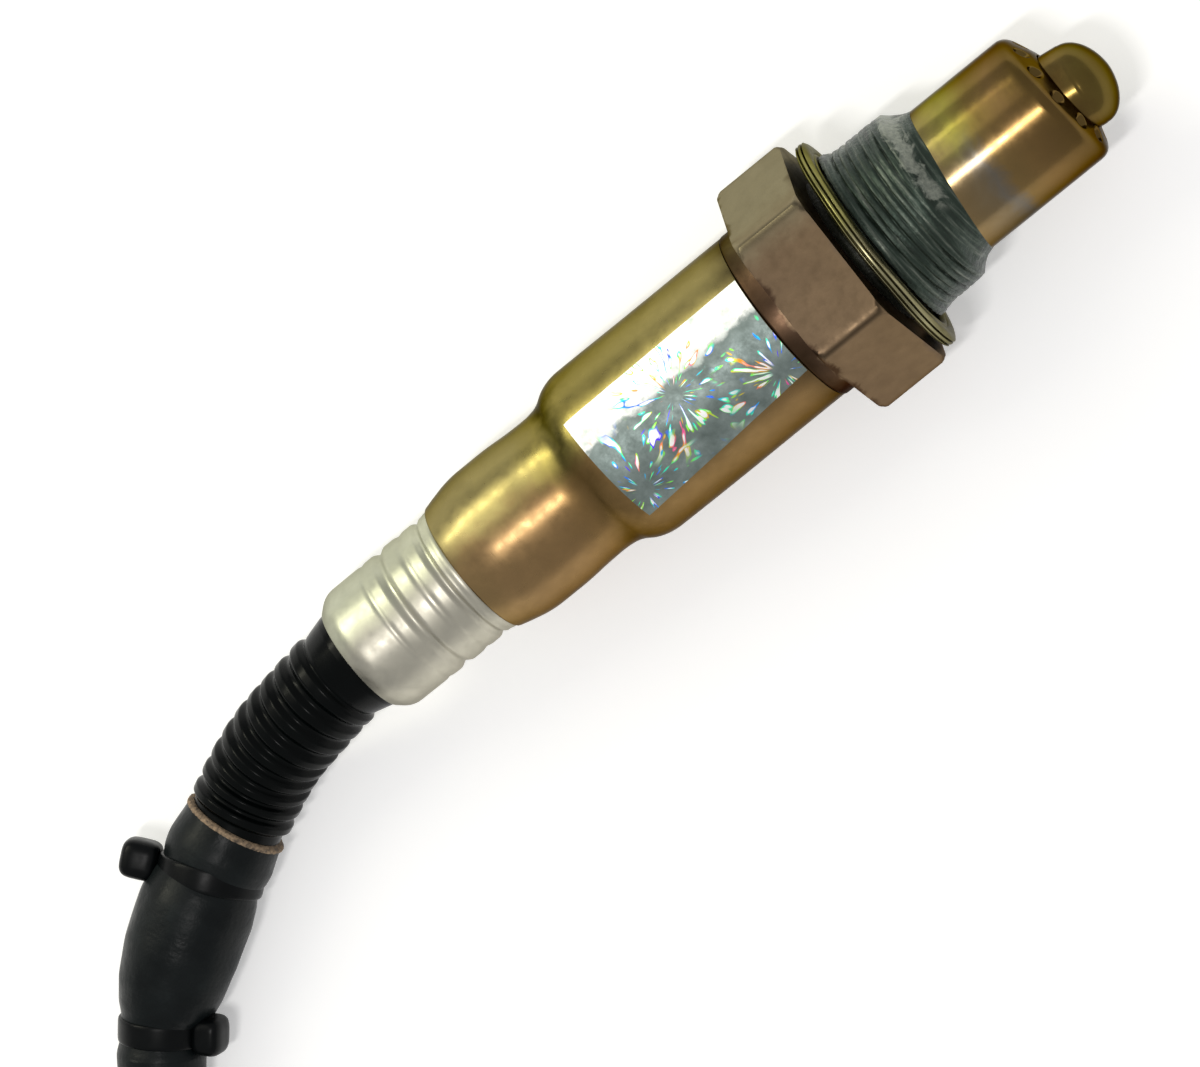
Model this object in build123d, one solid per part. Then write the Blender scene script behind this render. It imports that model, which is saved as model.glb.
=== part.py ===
"""Planar wideband oxygen sensor with its corrugated wire outlet, sleeved cable and sealed plug.

Frame: the sensor's axis is X with the gas tip towards +X, and X = 0 is the seat face that the
sealing ring bears on. Z is up. The sensor lies on one flat of its hexagon, and its cable lies on
the same surface. All sizes are in millimetres.
"""

import os
from math import atan2, cos, degrees, pi, radians, sin, sqrt, tan

from build123d import *

# ---------------------------------------------------------------- driving dimensions
SLIP = 0.03  # clearance of parts that slide into each other
FIT = 0.02  # clearance of parts that are pressed or crimped together

# threaded body: M18 x 1.5 thread, 22 mm hexagon
THREAD_D = 18.0
THREAD_END_X = 9.7
THREAD_LEAD_IN = 1.3
NECK_D = 16.0
NECK_LENGTH = 2.6
HEX_FLATS = 22.0
HEX_LENGTH = 7.5
HEX_FACE_D = 24.2
HEX_CORNER_ROUND = 0.5
COLLAR_D = 18.4
COLLAR_LENGTH = 2.0
SPIGOT_LENGTH = 5.0
BOSS_LENGTH = 3.3
BODY_BORE_D = 12.4
BODY_LIP_BORE_D = 9.8
BODY_LIP = 1.1
NOSE_BORE_D = 8.8
SEAT_CONE_X = 2.6
SEAT_CONE_LENGTH = 1.8

# sealing ring, loose on the neck
RING_D = 23.0
RING_BORE_D = 18.4
RING_THICKNESS = 1.3
RING_SLOT = 0.14
RING_X = 1.98
RING_ASIDE = 0.3
RING_SWING = 3.8
RING_PITCH = 4.4

# protection tubes
TUBE_D = 14.4
TUBE_WALL = 0.6
WELD_D = 15.5
WELD_LENGTH = 1.3
CAP_X = 21.9
CAP_LEAN = 4.5
NOSE_LEAN = 4.5
CAP_STEP = 0.07
CAP_EDGE = 1.0
CAP_RIM = 1.05
CAP_TOP_D = 8.9
CAP_RISE = 1.35
GAS_HOLES = 11
GAS_HOLE_D = 1.25
NOSE_D = 8.44
NOSE_WALL = 0.4
NOSE_TIP = 6.5
NOSE_DOME = 2.6
NOSE_ROOT = 2.6
INNER_TUBE_D = 7.7
INNER_TUBE_FLANGE = 0.45
INNER_HOLES = 8
INNER_HOLE_D = 1.0

# ceramics and sensing element
ELEMENT_WIDTH = 4.2
ELEMENT_THICKNESS = 1.3
ELEMENT_FRONT_X = 21.5
ELEMENT_REAR_X = -31.0
FRONT_BUSH_LENGTH = 5.0
FRONT_BUSH_NOSE = 6.5
POWDER_LENGTH = 5.0
REAR_BUSH_LENGTH = 5.4
CLAMP_RING_THICKNESS = 0.9
HOLDER_D = 12.0
HOLDER_FRONT_X = -22.0
HOLDER_LENGTH = 14.0
BAND_LENGTH = 4.5
BAND_THICKNESS = 0.5

# contacts and wires
CLIP_WIDTH = 1.0
CLIP_THICKNESS = 0.4
CLIP_LENGTH = 11.0
BARREL_D = 2.1
BARREL_LENGTH = 4.0
WIRE_D = 1.6
WIRE_ROWS = [(-2.2, 1.2), (0.0, 1.2), (2.2, 1.2), (-1.1, -1.2), (1.1, -1.2)]

# rear sheath
SHEATH_D = 18.24
SHEATH_WALL = 0.55
SHOULDER_X = -29.9
SHOULDER_END_X = -33.5
REAR_TUBE_D = 15.14
SWELL_X = -38.0
SWELL_D = 15.5
SWELL_END_X = -43.7
SHEATH_END_X = -47.0
SHEATH_END_D = 13.9

# crimp sleeve
CRIMP_D = 13.2
CRIMP_WALL = 0.5
CRIMP_FRONT_X = -42.0
CRIMP_END_X = -60.7
CRIMP_EDGE = 1.2
CRIMP_LIP_X = -47.3
CRIMP_LIP_HEIGHT = 0.12
CRIMP_GROOVES = [(-48.5, 0.35), (-50.6, 0.15), (-53.0, 0.35), (-55.1, 0.15)]
GROOVE_HALF = 0.55

# grommet and corrugated hose
GROMMET_FRONT_X = CRIMP_FRONT_X - 1.2
GROMMET_HEAD = GROMMET_FRONT_X - CRIMP_GROOVES[0][0] - 0.1
GROMMET_END_X = -58.0
CUFF_WALL = 1.1
CUFF_ROUND = 0.4
HOSE_CONE_END_X = -63.0
HOSE_VALLEY_D = 8.7
HOSE_CREST_D = 9.6
HOSE_BORE_D = 7.4
HOSE_PITCH = 2.0
HOSE_RIBS = 8
RIB_WIDTH = 1.15
RIB_CREST = 0.55
HOSE_FIRST_RIB = 1.5

# label on the sheath
LABEL_FRONT_X = -9.8
LABEL_LENGTH = 19.0
LABEL_START = 68.0
LABEL_ARC = 68.0
LABEL_THICKNESS = 0.1

# cable: sleeve over five wires, lying on the surface that the hexagon rests on
FLOOR_Z = -HEX_FLATS / 2
SLEEVE_D = 9.2
SLEEVE_END_D = 9.9
SLEEVE_END_LENGTH = 1.2
CABLE_D = 7.6
HOSE_ROUTE = [
    (-57.4, 0, 0),
    (-62.2, 0, 0),
    (-67.0, -1.2, -0.9),
    (-72.2, -1.75, -2.7),
    (-77.4, -2.9, -4.45),
    (-80.9, -4.2, -4.8),
]
SLEEVE_ROUTE = [
    (-80.9, -4.2, -4.8),
    (-83.9, -5.3143, -5.1),
    (-91.6, -9.4, -5.2),
    (-95.9, -12.3, -5.8),
]
CABLE_ROUTE = [
    (-95.9, -12.3, -5.8),
    (-98.9, -14.3233, -6.2186),
    (-102.3, -18.3, -7.0),
    (-107.9, -27.3, -7.2),
    (-115.6, -41.4, -7.2),
    (-122.6, -56.2, -7.2),
]
COIL_RADIUS = 42.0
COIL_PITCH = 8.0
COIL_TURNS = 1.25

# cable ties
TIE_WIDTH = 3.4
TIE_THICKNESS = 1.0
TIE_PLAY = 0.12
TIE_HEAD = (4.8, 4.0, 3.4)
TIE_TAIL = 1.6

# plug
PLUG_X = -157.0
PLUG_LENGTH = 34.0
PLUG_WIDTH = 20.0
PLUG_HEIGHT = 15.0
PLUG_WALL = 1.6
PLUG_SOCKET_DEPTH = 13.0
PLUG_CORNER = 2.5
PLUG_PITCH_Y = 4.0
PLUG_PITCH_Z = 4.6
PIN_WIDTH = 1.5
PIN_THICKNESS = 0.8
PIN_STAND = 6.5
PLUG_WIRE_D = 1.9
WIRE_SWING = 21.5
SEAL_LENGTH = 3.0
CAP_LENGTH = 4.0
LATCH_WIDTH = 7.0
LATCH_LENGTH = 14.0
LATCH_RISE = 1.8
LOCK_LENGTH = 2.4
LOCK_PLAY = 0.1
RIM_SEAL_LENGTH = 2.6
RIM_SEAL_THICKNESS = 0.9
BLOCK_PLAY = 0.15


def turned(*stations):
    """Body of revolution about X. A station is (x, radius) or (x, radius, corner rounding)."""
    corners = [(x, r) for x, r, *_ in stations]
    rounds = [rest[0] if rest else 0 for _, _, *rest in stations]
    if any(rounds):
        outline = FilletPolyline(*corners, radius=rounds, close=True)
    else:
        outline = Polyline(*corners, close=True)
    return revolve(make_face(outline), Axis.X)


def along_x(x0, x1, *sections):
    """Prism between two stations of X, from sections drawn in a plane seen from +X."""
    plane = Plane((x0, 0, 0), x_dir=(0, 1, 0), z_dir=(1, 0, 0))
    return extrude(plane * Sketch(sections), x1 - x0)


def wire_spots(diameter):
    """The five wires' circles in their two rows."""
    return [Pos(y, z) * Circle(diameter / 2) for y, z in WIRE_ROWS]


def element_slot(x0, x1):
    """Passage for the flat sensing element."""
    return along_x(x0, x1, Rectangle(ELEMENT_WIDTH + 2 * FIT, ELEMENT_THICKNESS + 2 * FIT))


def bend_radii(route, share=0.45):
    """Largest arcs that the runs beside each corner of a route leave room for."""
    radii = []
    for before, corner, after in zip(route, route[1:], route[2:]):
        arriving = Vector(corner) - Vector(before)
        leaving = Vector(after) - Vector(corner)
        half_turn = radians(arriving.get_angle(leaving)) / 2
        radii.append(share * min(arriving.length, leaving.length) / tan(half_turn))
    return radii


def route_line(route):
    """Straight runs joined by tangent arcs."""
    return FilletPolyline(*route, radius=bend_radii(route))


def hose_line():
    """Centre line of the outlet, from the crimp's rear edge to the sleeve's mouth."""
    return route_line(HOSE_ROUTE)


def swept_round(line, diameter, bore=0):
    """Round section carried along a line, hollow if it has a bore."""
    section = Circle(diameter / 2)
    if bore:
        section -= Circle(bore / 2)
    return sweep(Plane(line @ 0, z_dir=line % 0) * section, path=line)


# ---------------------------------------------------------------- threaded body
def hex_body():
    """Steel shell: front boss, thread, neck, hexagon, collar and the spigot under the sheath."""
    boss_r = TUBE_D / 2 - TUBE_WALL - FIT
    rear_x = -HEX_LENGTH - COLLAR_LENGTH
    spigot_r = SHEATH_D / 2 - SHEATH_WALL - FIT
    spigot_x = rear_x - SPIGOT_LENGTH
    lip_x = stack_rear_x() - BODY_LIP
    cone_x = SEAT_CONE_X - SEAT_CONE_LENGTH
    shell = turned(
        (THREAD_END_X + BOSS_LENGTH, NOSE_BORE_D / 2),
        (THREAD_END_X + BOSS_LENGTH, boss_r, 0.3),
        (THREAD_END_X, boss_r),
        (THREAD_END_X, THREAD_D / 2 - THREAD_LEAD_IN, 0.3),
        (THREAD_END_X - THREAD_LEAD_IN, THREAD_D / 2),
        (NECK_LENGTH + (THREAD_D - NECK_D) / 2, THREAD_D / 2),
        (NECK_LENGTH, NECK_D / 2, 0.4),
        (0, NECK_D / 2, 0.3),
        (0, COLLAR_D / 2),
        (rear_x, COLLAR_D / 2, 0.2),
        (rear_x, spigot_r),
        (spigot_x, spigot_r, 0.4),
        (lip_x, BODY_BORE_D / 2 + 0.5, 0.5),
        (lip_x, BODY_LIP_BORE_D / 2, 0.3),
        (lip_x + BODY_LIP, BODY_LIP_BORE_D / 2),
        (lip_x + BODY_LIP, BODY_BORE_D / 2),
        (cone_x, BODY_BORE_D / 2),
        (SEAT_CONE_X, NOSE_BORE_D / 2),
    )
    outline = RegularPolygon(HEX_FLATS / 2, 6, major_radius=False)
    hexagon = along_x(-HEX_LENGTH, 0, fillet(outline.vertices(), HEX_CORNER_ROUND))
    hexagon -= along_x(-HEX_LENGTH, 0, Circle(NECK_D / 2 - HEX_CORNER_ROUND))
    rise = HEX_FLATS / sqrt(3) - HEX_FACE_D / 2
    limit = turned(
        (0, 0),
        (0, HEX_FACE_D / 2),
        (-rise, HEX_FACE_D / 2 + rise),
        (rise - HEX_LENGTH, HEX_FACE_D / 2 + rise),
        (-HEX_LENGTH, HEX_FACE_D / 2),
        (-HEX_LENGTH, 0),
    )
    return shell + (hexagon & limit)


def stack_rear_x():
    """Rear end of the stack of bushes, powder and clamp ring inside the body."""
    stack = FRONT_BUSH_LENGTH + POWDER_LENGTH + REAR_BUSH_LENGTH + CLAMP_RING_THICKNESS
    return SEAT_CONE_X - SEAT_CONE_LENGTH - stack


def sealing_ring():
    """Folded sheet ring: two leaves joined by a round fold at the rim, loose and askew on the neck."""
    leaf = (RING_THICKNESS - RING_SLOT) / 2
    half = RING_THICKNESS / 2
    rim = RING_D / 2
    inner = RING_BORE_D / 2
    fold = half * 0.96
    ring = turned(
        (-half, inner, 0.25),
        (-half, rim, fold),
        (half, rim, fold),
        (half, inner, 0.25),
        (half - leaf, inner),
        (half - leaf, rim - leaf),
        (leaf - half, rim - leaf),
        (leaf - half, inner),
    )
    lowest = (rim - fold) * cos(radians(RING_PITCH)) + fold
    return Pos(RING_X, -RING_ASIDE, lowest + FLOOR_Z) * Rot(0, RING_PITCH, -RING_SWING) * ring


# ---------------------------------------------------------------- protection tubes
def leaning(shape, lean=CAP_LEAN):
    """Place something drawn from the cap's pivot along X on an axis that leans towards +Y."""
    return Pos(CAP_X, 0, 0) * Rot(0, 0, lean) * shape


def cap_solid(inset):
    """Cap without its hollow: short skirt, rounded edge and cone. The inset moves it inwards."""
    r = TUBE_D / 2 - CAP_STEP - inset
    x = -inset
    return leaning(
        turned(
            (-CAP_EDGE, 0),
            (-CAP_EDGE, r),
            (CAP_RIM + x, r, CAP_EDGE - inset),
            (CAP_RIM + CAP_RISE + x, CAP_TOP_D / 2 - inset),
            (CAP_RIM + CAP_RISE + x, 0),
        )
    )


def tube_solid(radius):
    """Straight bar from the tube's base to the leaning plane of the cap."""
    bar = along_x(THREAD_END_X, CAP_X + CAP_EDGE, Circle(radius))
    seam = leaning(Pos(TUBE_D, 0, 0) * Box(2 * TUBE_D, 2 * TUBE_D, 2 * TUBE_D))
    return bar - seam


def outer_protection_tube():
    """Tube with its weld bead and a leaning conical cap, with a ring of gas holes in the cone."""
    r = TUBE_D / 2
    bead = turned(
        (THREAD_END_X, r - TUBE_WALL),
        (THREAD_END_X, WELD_D / 2, 0.3),
        (THREAD_END_X + WELD_LENGTH / 2, WELD_D / 2, 0.3),
        (THREAD_END_X + WELD_LENGTH, r),
        (THREAD_END_X + WELD_LENGTH, r - TUBE_WALL),
    )
    tube = tube_solid(r) + cap_solid(0) - tube_solid(r - TUBE_WALL) - cap_solid(TUBE_WALL) + bead
    tube -= leaning(along_x(0, NOSE_TIP, Circle(NOSE_D / 2 + SLIP)), -NOSE_LEAN)
    edge_r = r - CAP_STEP
    slope = degrees(atan2(edge_r - CAP_TOP_D / 2, CAP_RISE))
    drill = Pos(CAP_RIM + CAP_RISE / 2, 0, (edge_r + CAP_TOP_D / 2) / 2 - CAP_EDGE / 8)
    drill *= Rot(0, slope, 0) * Cylinder(GAS_HOLE_D / 2, 4 * TUBE_WALL)
    for i in range(GAS_HOLES):
        tube -= leaning(Rot((i + 0.5) * 360 / GAS_HOLES, 0, 0) * drill)
    return tube


def nose_solid(inset):
    """Leaning nose with its dome, without its hollow."""
    r = NOSE_D / 2 - inset
    tip = NOSE_TIP - inset
    return leaning(
        turned(
            (-NOSE_ROOT + inset, 0),
            (-NOSE_ROOT + inset, r),
            (tip - NOSE_DOME, r, 1.0),
            (tip - NOSE_DOME * 0.45, r * 0.84, 1.2),
            (tip, r * 0.34, 0.8),
            (tip, 0),
        ),
        -NOSE_LEAN,
    )


def inner_protection_tube():
    """Inner tube on a flange against the body's boss, drawn out into the leaning domed nose."""
    base_x = THREAD_END_X + BOSS_LENGTH
    r = INNER_TUBE_D / 2
    flange_r = TUBE_D / 2 - TUBE_WALL - SLIP
    stem = turned(
        (base_x, 0),
        (base_x, flange_r),
        (base_x + INNER_TUBE_FLANGE, flange_r),
        (base_x + INNER_TUBE_FLANGE, r, 0.4),
        (CAP_X - NOSE_ROOT / 2, r),
        (CAP_X - NOSE_ROOT / 2, 0),
    )
    tube = stem + nose_solid(0) - along_x(base_x, CAP_X, Circle(r - NOSE_WALL)) - nose_solid(NOSE_WALL)
    drill = Pos(base_x + 3.0, 0, r) * Cylinder(INNER_HOLE_D / 2, 4 * NOSE_WALL)
    for i in range(INNER_HOLES):
        tube -= Rot(i * 360 / INNER_HOLES, 0, 0) * drill
    return tube


# ---------------------------------------------------------------- stack inside the body
def front_bush():
    """Ceramic bush on the body's inner cone, with its nose in the front bore."""
    r = BODY_BORE_D / 2 - FIT
    nose_r = NOSE_BORE_D / 2 - FIT
    cone_x = SEAT_CONE_X - SEAT_CONE_LENGTH
    bush = turned(
        (cone_x - FRONT_BUSH_LENGTH, 0),
        (cone_x - FRONT_BUSH_LENGTH, r),
        (cone_x, r),
        (SEAT_CONE_X, nose_r),
        (SEAT_CONE_X + FRONT_BUSH_NOSE, nose_r, 0.5),
        (SEAT_CONE_X + FRONT_BUSH_NOSE, 0),
    )
    return bush - element_slot(cone_x - FRONT_BUSH_LENGTH, SEAT_CONE_X + FRONT_BUSH_NOSE)


def stacked_ring(ahead, length, bore=0):
    """Round piece of the stack, behind what is ahead of it, with a slot or a round bore."""
    front = SEAT_CONE_X - SEAT_CONE_LENGTH - ahead
    blank = along_x(front - length, front, Circle(BODY_BORE_D / 2 - FIT))
    if bore:
        return blank - along_x(front - length, front, Circle(bore / 2))
    return blank - element_slot(front - length, front)


def powder_seal():
    """Pressed powder that seals round the sensing element."""
    return stacked_ring(FRONT_BUSH_LENGTH, POWDER_LENGTH)


def rear_bush():
    """Ceramic bush behind the powder."""
    return stacked_ring(FRONT_BUSH_LENGTH + POWDER_LENGTH, REAR_BUSH_LENGTH)


def clamp_ring():
    """Steel ring under the body's rolled lip."""
    ahead = FRONT_BUSH_LENGTH + POWDER_LENGTH + REAR_BUSH_LENGTH
    return stacked_ring(ahead, CLAMP_RING_THICKNESS, bore=BODY_LIP_BORE_D - 2)


def sensing_element():
    """Flat ceramic element through the whole stack, with a rounded gas end."""
    bar = along_x(ELEMENT_REAR_X, ELEMENT_FRONT_X, Rectangle(ELEMENT_WIDTH, ELEMENT_THICKNESS))
    return chamfer(bar.edges().filter_by(Axis.Z).sort_by(Axis.X)[-2:], 0.8)


def contact_holder(side):
    """Half of the ceramic clamp round the element's rear end: side is +1 above and -1 below."""
    half = along_x(HOLDER_FRONT_X - HOLDER_LENGTH, HOLDER_FRONT_X, Circle(HOLDER_D / 2 - FIT))
    half = split(half, Plane.XY, keep=Keep.TOP if side > 0 else Keep.BOTTOM)
    depth = ELEMENT_THICKNESS / 2 + CLIP_THICKNESS + FIT
    channel = Box(
        HOLDER_LENGTH,
        ELEMENT_WIDTH + 0.4,
        2 * depth,
        align=(Align.MAX, Align.CENTER, Align.CENTER),
    )
    return half - Pos(HOLDER_FRONT_X, 0, 0) * channel


def holder_band():
    """Spring band that presses the two holder halves together."""
    middle = HOLDER_FRONT_X - HOLDER_LENGTH / 2
    outer = Circle(HOLDER_D / 2 + BAND_THICKNESS)
    return along_x(middle - BAND_LENGTH / 2, middle + BAND_LENGTH / 2, outer - Circle(HOLDER_D / 2))


def contact_clips():
    """Five contacts: a spring strip on the element and a barrel crimped round its wire."""
    rear = HOLDER_FRONT_X - HOLDER_LENGTH
    clips = []
    for y, z in WIRE_ROWS:
        up = 1 if z > 0 else -1
        strip_z = up * (ELEMENT_THICKNESS / 2 + CLIP_THICKNESS / 2)
        strip_y = y * (ELEMENT_WIDTH / 2 - CLIP_WIDTH / 2) / WIRE_ROWS[2][0]
        strip = Pos(rear, strip_y, strip_z) * Box(
            CLIP_LENGTH, CLIP_WIDTH, CLIP_THICKNESS, align=(Align.MIN, Align.CENTER, Align.CENTER)
        )
        tab = Pos(rear, (y + strip_y) / 2, strip_z) * Box(
            0.8,
            CLIP_WIDTH + abs(y - strip_y),
            CLIP_THICKNESS,
            align=(Align.MAX, Align.CENTER, Align.CENTER),
        )
        barrel = Pos(rear - 0.6 - BARREL_LENGTH / 2, y, z) * Rot(0, 90, 0) * Cylinder(BARREL_D / 2, BARREL_LENGTH)
        bore = Pos(wire_front_x() - BARREL_LENGTH, y, z) * Rot(0, 90, 0) * Cylinder(
            WIRE_D / 2, 2 * BARREL_LENGTH
        )
        clips.append(strip + tab + barrel - bore)
    return clips


def wire_front_x():
    """Front ends of the wires, inside the contacts' barrels."""
    return HOLDER_FRONT_X - HOLDER_LENGTH - 1.4


# ---------------------------------------------------------------- sheath, crimp and outlet
def rear_sheath():
    """Stepped tube, pressed over the body's spigot and rolled in over the crimp sleeve."""
    front = -HEX_LENGTH - COLLAR_LENGTH
    big, small, swell, end = (d / 2 for d in (SHEATH_D, REAR_TUBE_D, SWELL_D, SHEATH_END_D))
    w = SHEATH_WALL
    mouth = CRIMP_D / 2 + FIT
    return turned(
        (front, big),
        (SHOULDER_X, big, 6),
        (SHOULDER_END_X, small, 5),
        (SWELL_X + 0.5, small, 1.5),
        (SWELL_X - 0.4, swell, 1.5),
        (SWELL_END_X, swell, 2.4),
        (SHEATH_END_X + 0.2, end, 0.5),
        (SHEATH_END_X, mouth),
        (SHEATH_END_X + 0.8, mouth),
        (SWELL_END_X + 0.3, swell - w, 1.5),
        (SWELL_X - 0.4, swell - w),
        (SWELL_X + 0.5, small - w),
        (SHOULDER_END_X + 0.1, small - w, 4),
        (SHOULDER_X + 0.1, big - w, 4),
        (front, big - w),
    )


def crimp_sleeve():
    """Light steel sleeve with rolled grooves and an edge turned in over the hose's cuff."""
    r = CRIMP_D / 2
    w = CRIMP_WALL
    lip = CRIMP_LIP_HEIGHT
    outside = [(CRIMP_FRONT_X, r), (CRIMP_LIP_X + 0.4, r), (CRIMP_LIP_X, r + lip, 0.3), (CRIMP_LIP_X - 0.4, r)]
    inside = []
    for x, depth in CRIMP_GROOVES:
        outside += [(x + GROOVE_HALF, r, 0.2), (x, r - depth, 0.3), (x - GROOVE_HALF, r, 0.2)]
        inside = [
            (x - GROOVE_HALF, r - w),
            (x, r - w - depth),
            (x + GROOVE_HALF, r - w),
        ] + inside
    rim = [
        (CRIMP_END_X, r, CRIMP_EDGE),
        (CRIMP_END_X, r - CRIMP_EDGE - 0.1),
        (CRIMP_END_X + w, r - CRIMP_EDGE - 0.1),
        (CRIMP_END_X + w, r - w, CRIMP_EDGE - w),
    ]
    return turned(*outside, *rim, *inside, (CRIMP_FRONT_X, r - w))


def cuff_radius():
    """Outside of the hose's cuff, which the deepest grooves grip."""
    return CRIMP_D / 2 - CRIMP_WALL - max(depth for _, depth in CRIMP_GROOVES) - FIT


def bellows(line):
    """Ribbed outside of the hose: circles set square to its line, joined by straight flanks."""
    start = HOSE_ROUTE[0][0] - HOSE_CONE_END_X + HOSE_FIRST_RIB
    stations = [(0, HOSE_VALLEY_D)]
    for i in range(HOSE_RIBS):
        middle = start + i * HOSE_PITCH
        stations += [
            (middle - RIB_WIDTH / 2, HOSE_VALLEY_D),
            (middle - RIB_CREST / 2, HOSE_CREST_D),
            (middle + RIB_CREST / 2, HOSE_CREST_D),
            (middle + RIB_WIDTH / 2, HOSE_VALLEY_D),
        ]
    stations.append((line.length, HOSE_VALLEY_D))
    circles = [line.location_at(s / line.length) * Circle(d / 2) for s, d in stations]
    return loft(circles, ruled=True)


def corrugated_hose():
    """Moulded outlet: cuff in the crimp, cone, ribbed bellows on a bent line and a plain tail."""
    cuff_front = GROMMET_FRONT_X - GROMMET_HEAD
    cuff_r = cuff_radius()
    rim_bore = CRIMP_D / 2 - CRIMP_EDGE - 0.1 - FIT
    cuff = turned(
        (cuff_front, 0),
        (cuff_front, cuff_r),
        (CRIMP_END_X + CRIMP_WALL + FIT, cuff_r, CUFF_ROUND),
        (CRIMP_END_X + CRIMP_WALL + FIT, rim_bore),
        (CRIMP_END_X - 0.4, rim_bore),
        (HOSE_CONE_END_X, HOSE_VALLEY_D / 2 - 0.3),
        (HOSE_CONE_END_X, 0),
    )
    hose = cuff + bellows(hose_line())
    hose -= along_x(GROMMET_END_X, cuff_front, Circle(cuff_r - CUFF_WALL))
    return hose - swept_round(route_line([(cuff_front, 0, 0), *HOSE_ROUTE[1:]]), HOSE_BORE_D)


def grommet():
    """Rubber plug with five holes for the wires."""
    head_r = CRIMP_D / 2 - CRIMP_WALL - FIT
    stem_r = cuff_radius() - CUFF_WALL - FIT
    plug = turned(
        (GROMMET_FRONT_X, 0),
        (GROMMET_FRONT_X, head_r - 0.4),
        (GROMMET_FRONT_X - 0.4, head_r),
        (GROMMET_FRONT_X - GROMMET_HEAD + 0.5, head_r),
        (GROMMET_FRONT_X - GROMMET_HEAD, head_r - 0.5),
        (GROMMET_FRONT_X - GROMMET_HEAD, stem_r),
        (GROMMET_END_X, stem_r),
        (GROMMET_END_X, 0),
    )
    return plug - along_x(GROMMET_END_X, GROMMET_FRONT_X, *wire_spots(WIRE_D + 2 * FIT))


def lead_wires():
    """Five wires from the contacts through the grommet and the hose."""
    line = route_line([(wire_front_x(), 0, 0), *HOSE_ROUTE[1:]])
    plane = Plane((wire_front_x(), 0, 0), x_dir=(0, 1, 0), z_dir=(-1, 0, 0))
    return [sweep(plane * (Pos(y, -z) * Circle(WIRE_D / 2)), path=line) for y, z in WIRE_ROWS]


def foil_label():
    """Foil band on the upper side of the sheath."""
    r = SHEATH_D / 2
    strip = Pos(LABEL_FRONT_X - LABEL_LENGTH / 2, r + LABEL_THICKNESS / 2) * Rectangle(
        LABEL_LENGTH, LABEL_THICKNESS
    )
    return Rot(LABEL_START, 0, 0) * revolve(strip, Axis.X, revolution_arc=LABEL_ARC)


# ---------------------------------------------------------------- cable
def sleeve_end_band():
    """Cut end of the fibre sleeve, standing proud round the hose's tail."""
    line = hose_line()
    place = line.location_at(1 - SLEEVE_END_LENGTH / line.length)
    ring = Circle(SLEEVE_END_D / 2) - Circle(HOSE_VALLEY_D / 2 + SLIP)
    return place * extrude(ring, SLEEVE_END_LENGTH)


def sleeve_mouth():
    """First stretch of the sleeve, which bulges over the wires."""
    return swept_round(route_line(SLEEVE_ROUTE), SLEEVE_D)


def cable_run():
    """Sleeved cable from behind the second tie to the coil."""
    return swept_round(route_line(CABLE_ROUTE), CABLE_D)


def coil_heading():
    """Direction in which the cable enters the coil, in degrees."""
    (x0, y0, _), (x1, y1, _) = CABLE_ROUTE[-2:]
    return degrees(atan2(y1 - y0, x1 - x0))


def coil_centre():
    """Centre of the coil, on the right of the arriving cable."""
    x, y, _ = CABLE_ROUTE[-1]
    side = radians(coil_heading() - 90)
    return Vector(x + COIL_RADIUS * cos(side), y + COIL_RADIUS * sin(side), 0)


def coil_point(turn, offset=0.0):
    """Point of the clockwise inward spiral after so many degrees, moved outwards by an offset."""
    r = COIL_RADIUS - COIL_PITCH * turn / 360 + offset
    angle = radians(coil_heading() + 90 - turn)
    return coil_centre() + Vector(r * cos(angle), r * sin(angle), 0)


def coil_side(start, end, offset):
    """One side of the spiral as arcs of a quarter turn or less."""
    steps = max(1, round(abs(end - start) / 90))
    stops = [start + (end - start) * i / steps for i in range(steps + 1)]
    return [
        ThreePointArc(coil_point(a, offset), coil_point((a + b) / 2, offset), coil_point(b, offset))
        for a, b in zip(stops, stops[1:])
    ]


def cable_coil():
    """Flat spiral of the stored cable, as one solid with a face for each end of the cable."""
    half = COIL_PITCH / 2
    tail = 360 * (COIL_TURNS - 1)
    outline = coil_side(0, 360, half)
    outline += [Line(coil_point(360, half), coil_point(0, half))]
    inner = coil_side(360, tail, -half)
    inner += [Line(coil_point(tail, -half), coil_point(360 + tail, -half))]
    inner += coil_side(360 + tail, 360, -half)
    ring = make_face(Wire(outline)) - make_face(Wire(inner))
    return Pos(0, 0, FLOOR_Z) * extrude(ring, CABLE_D)


# ---------------------------------------------------------------- cable ties
def cable_tie(line, share, cable_d, side):
    """Tie round the cable: strap, ratchet head on one side and the cut tail beyond it."""
    length, width, height = TIE_HEAD
    inner = cable_d / 2 + TIE_PLAY
    outer = inner + TIE_THICKNESS
    strap = extrude(Circle(outer) - Circle(inner), TIE_WIDTH / 2, both=True)
    head = Pos(outer - 0.3 + height / 2, 0, 0) * Box(height, length, width)
    head = fillet(head.edges().filter_by(Axis.Z), 0.6) - Cylinder(inner, 3 * TIE_WIDTH)
    slot = Pos(outer + height / 2, 0, 0) * Box(TIE_THICKNESS + 0.1, 2 * length, TIE_WIDTH - 0.8)
    tail = Pos(outer + height / 2, length / 2 - 0.4, 0) * Box(
        TIE_THICKNESS, TIE_TAIL + 0.4, TIE_WIDTH - 1, align=(Align.CENTER, Align.MIN, Align.CENTER)
    )
    tie = strap + (head - slot) + tail + Pos(outer + height / 2, 0, 0) * Box(
        TIE_THICKNESS + 0.1, length - 1.2, TIE_WIDTH - 0.8
    )
    tangent = line % share
    outward = Vector(-tangent.Y, tangent.X, 0).normalized() * side
    return Plane(line @ share, x_dir=outward, z_dir=tangent) * tie


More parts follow.
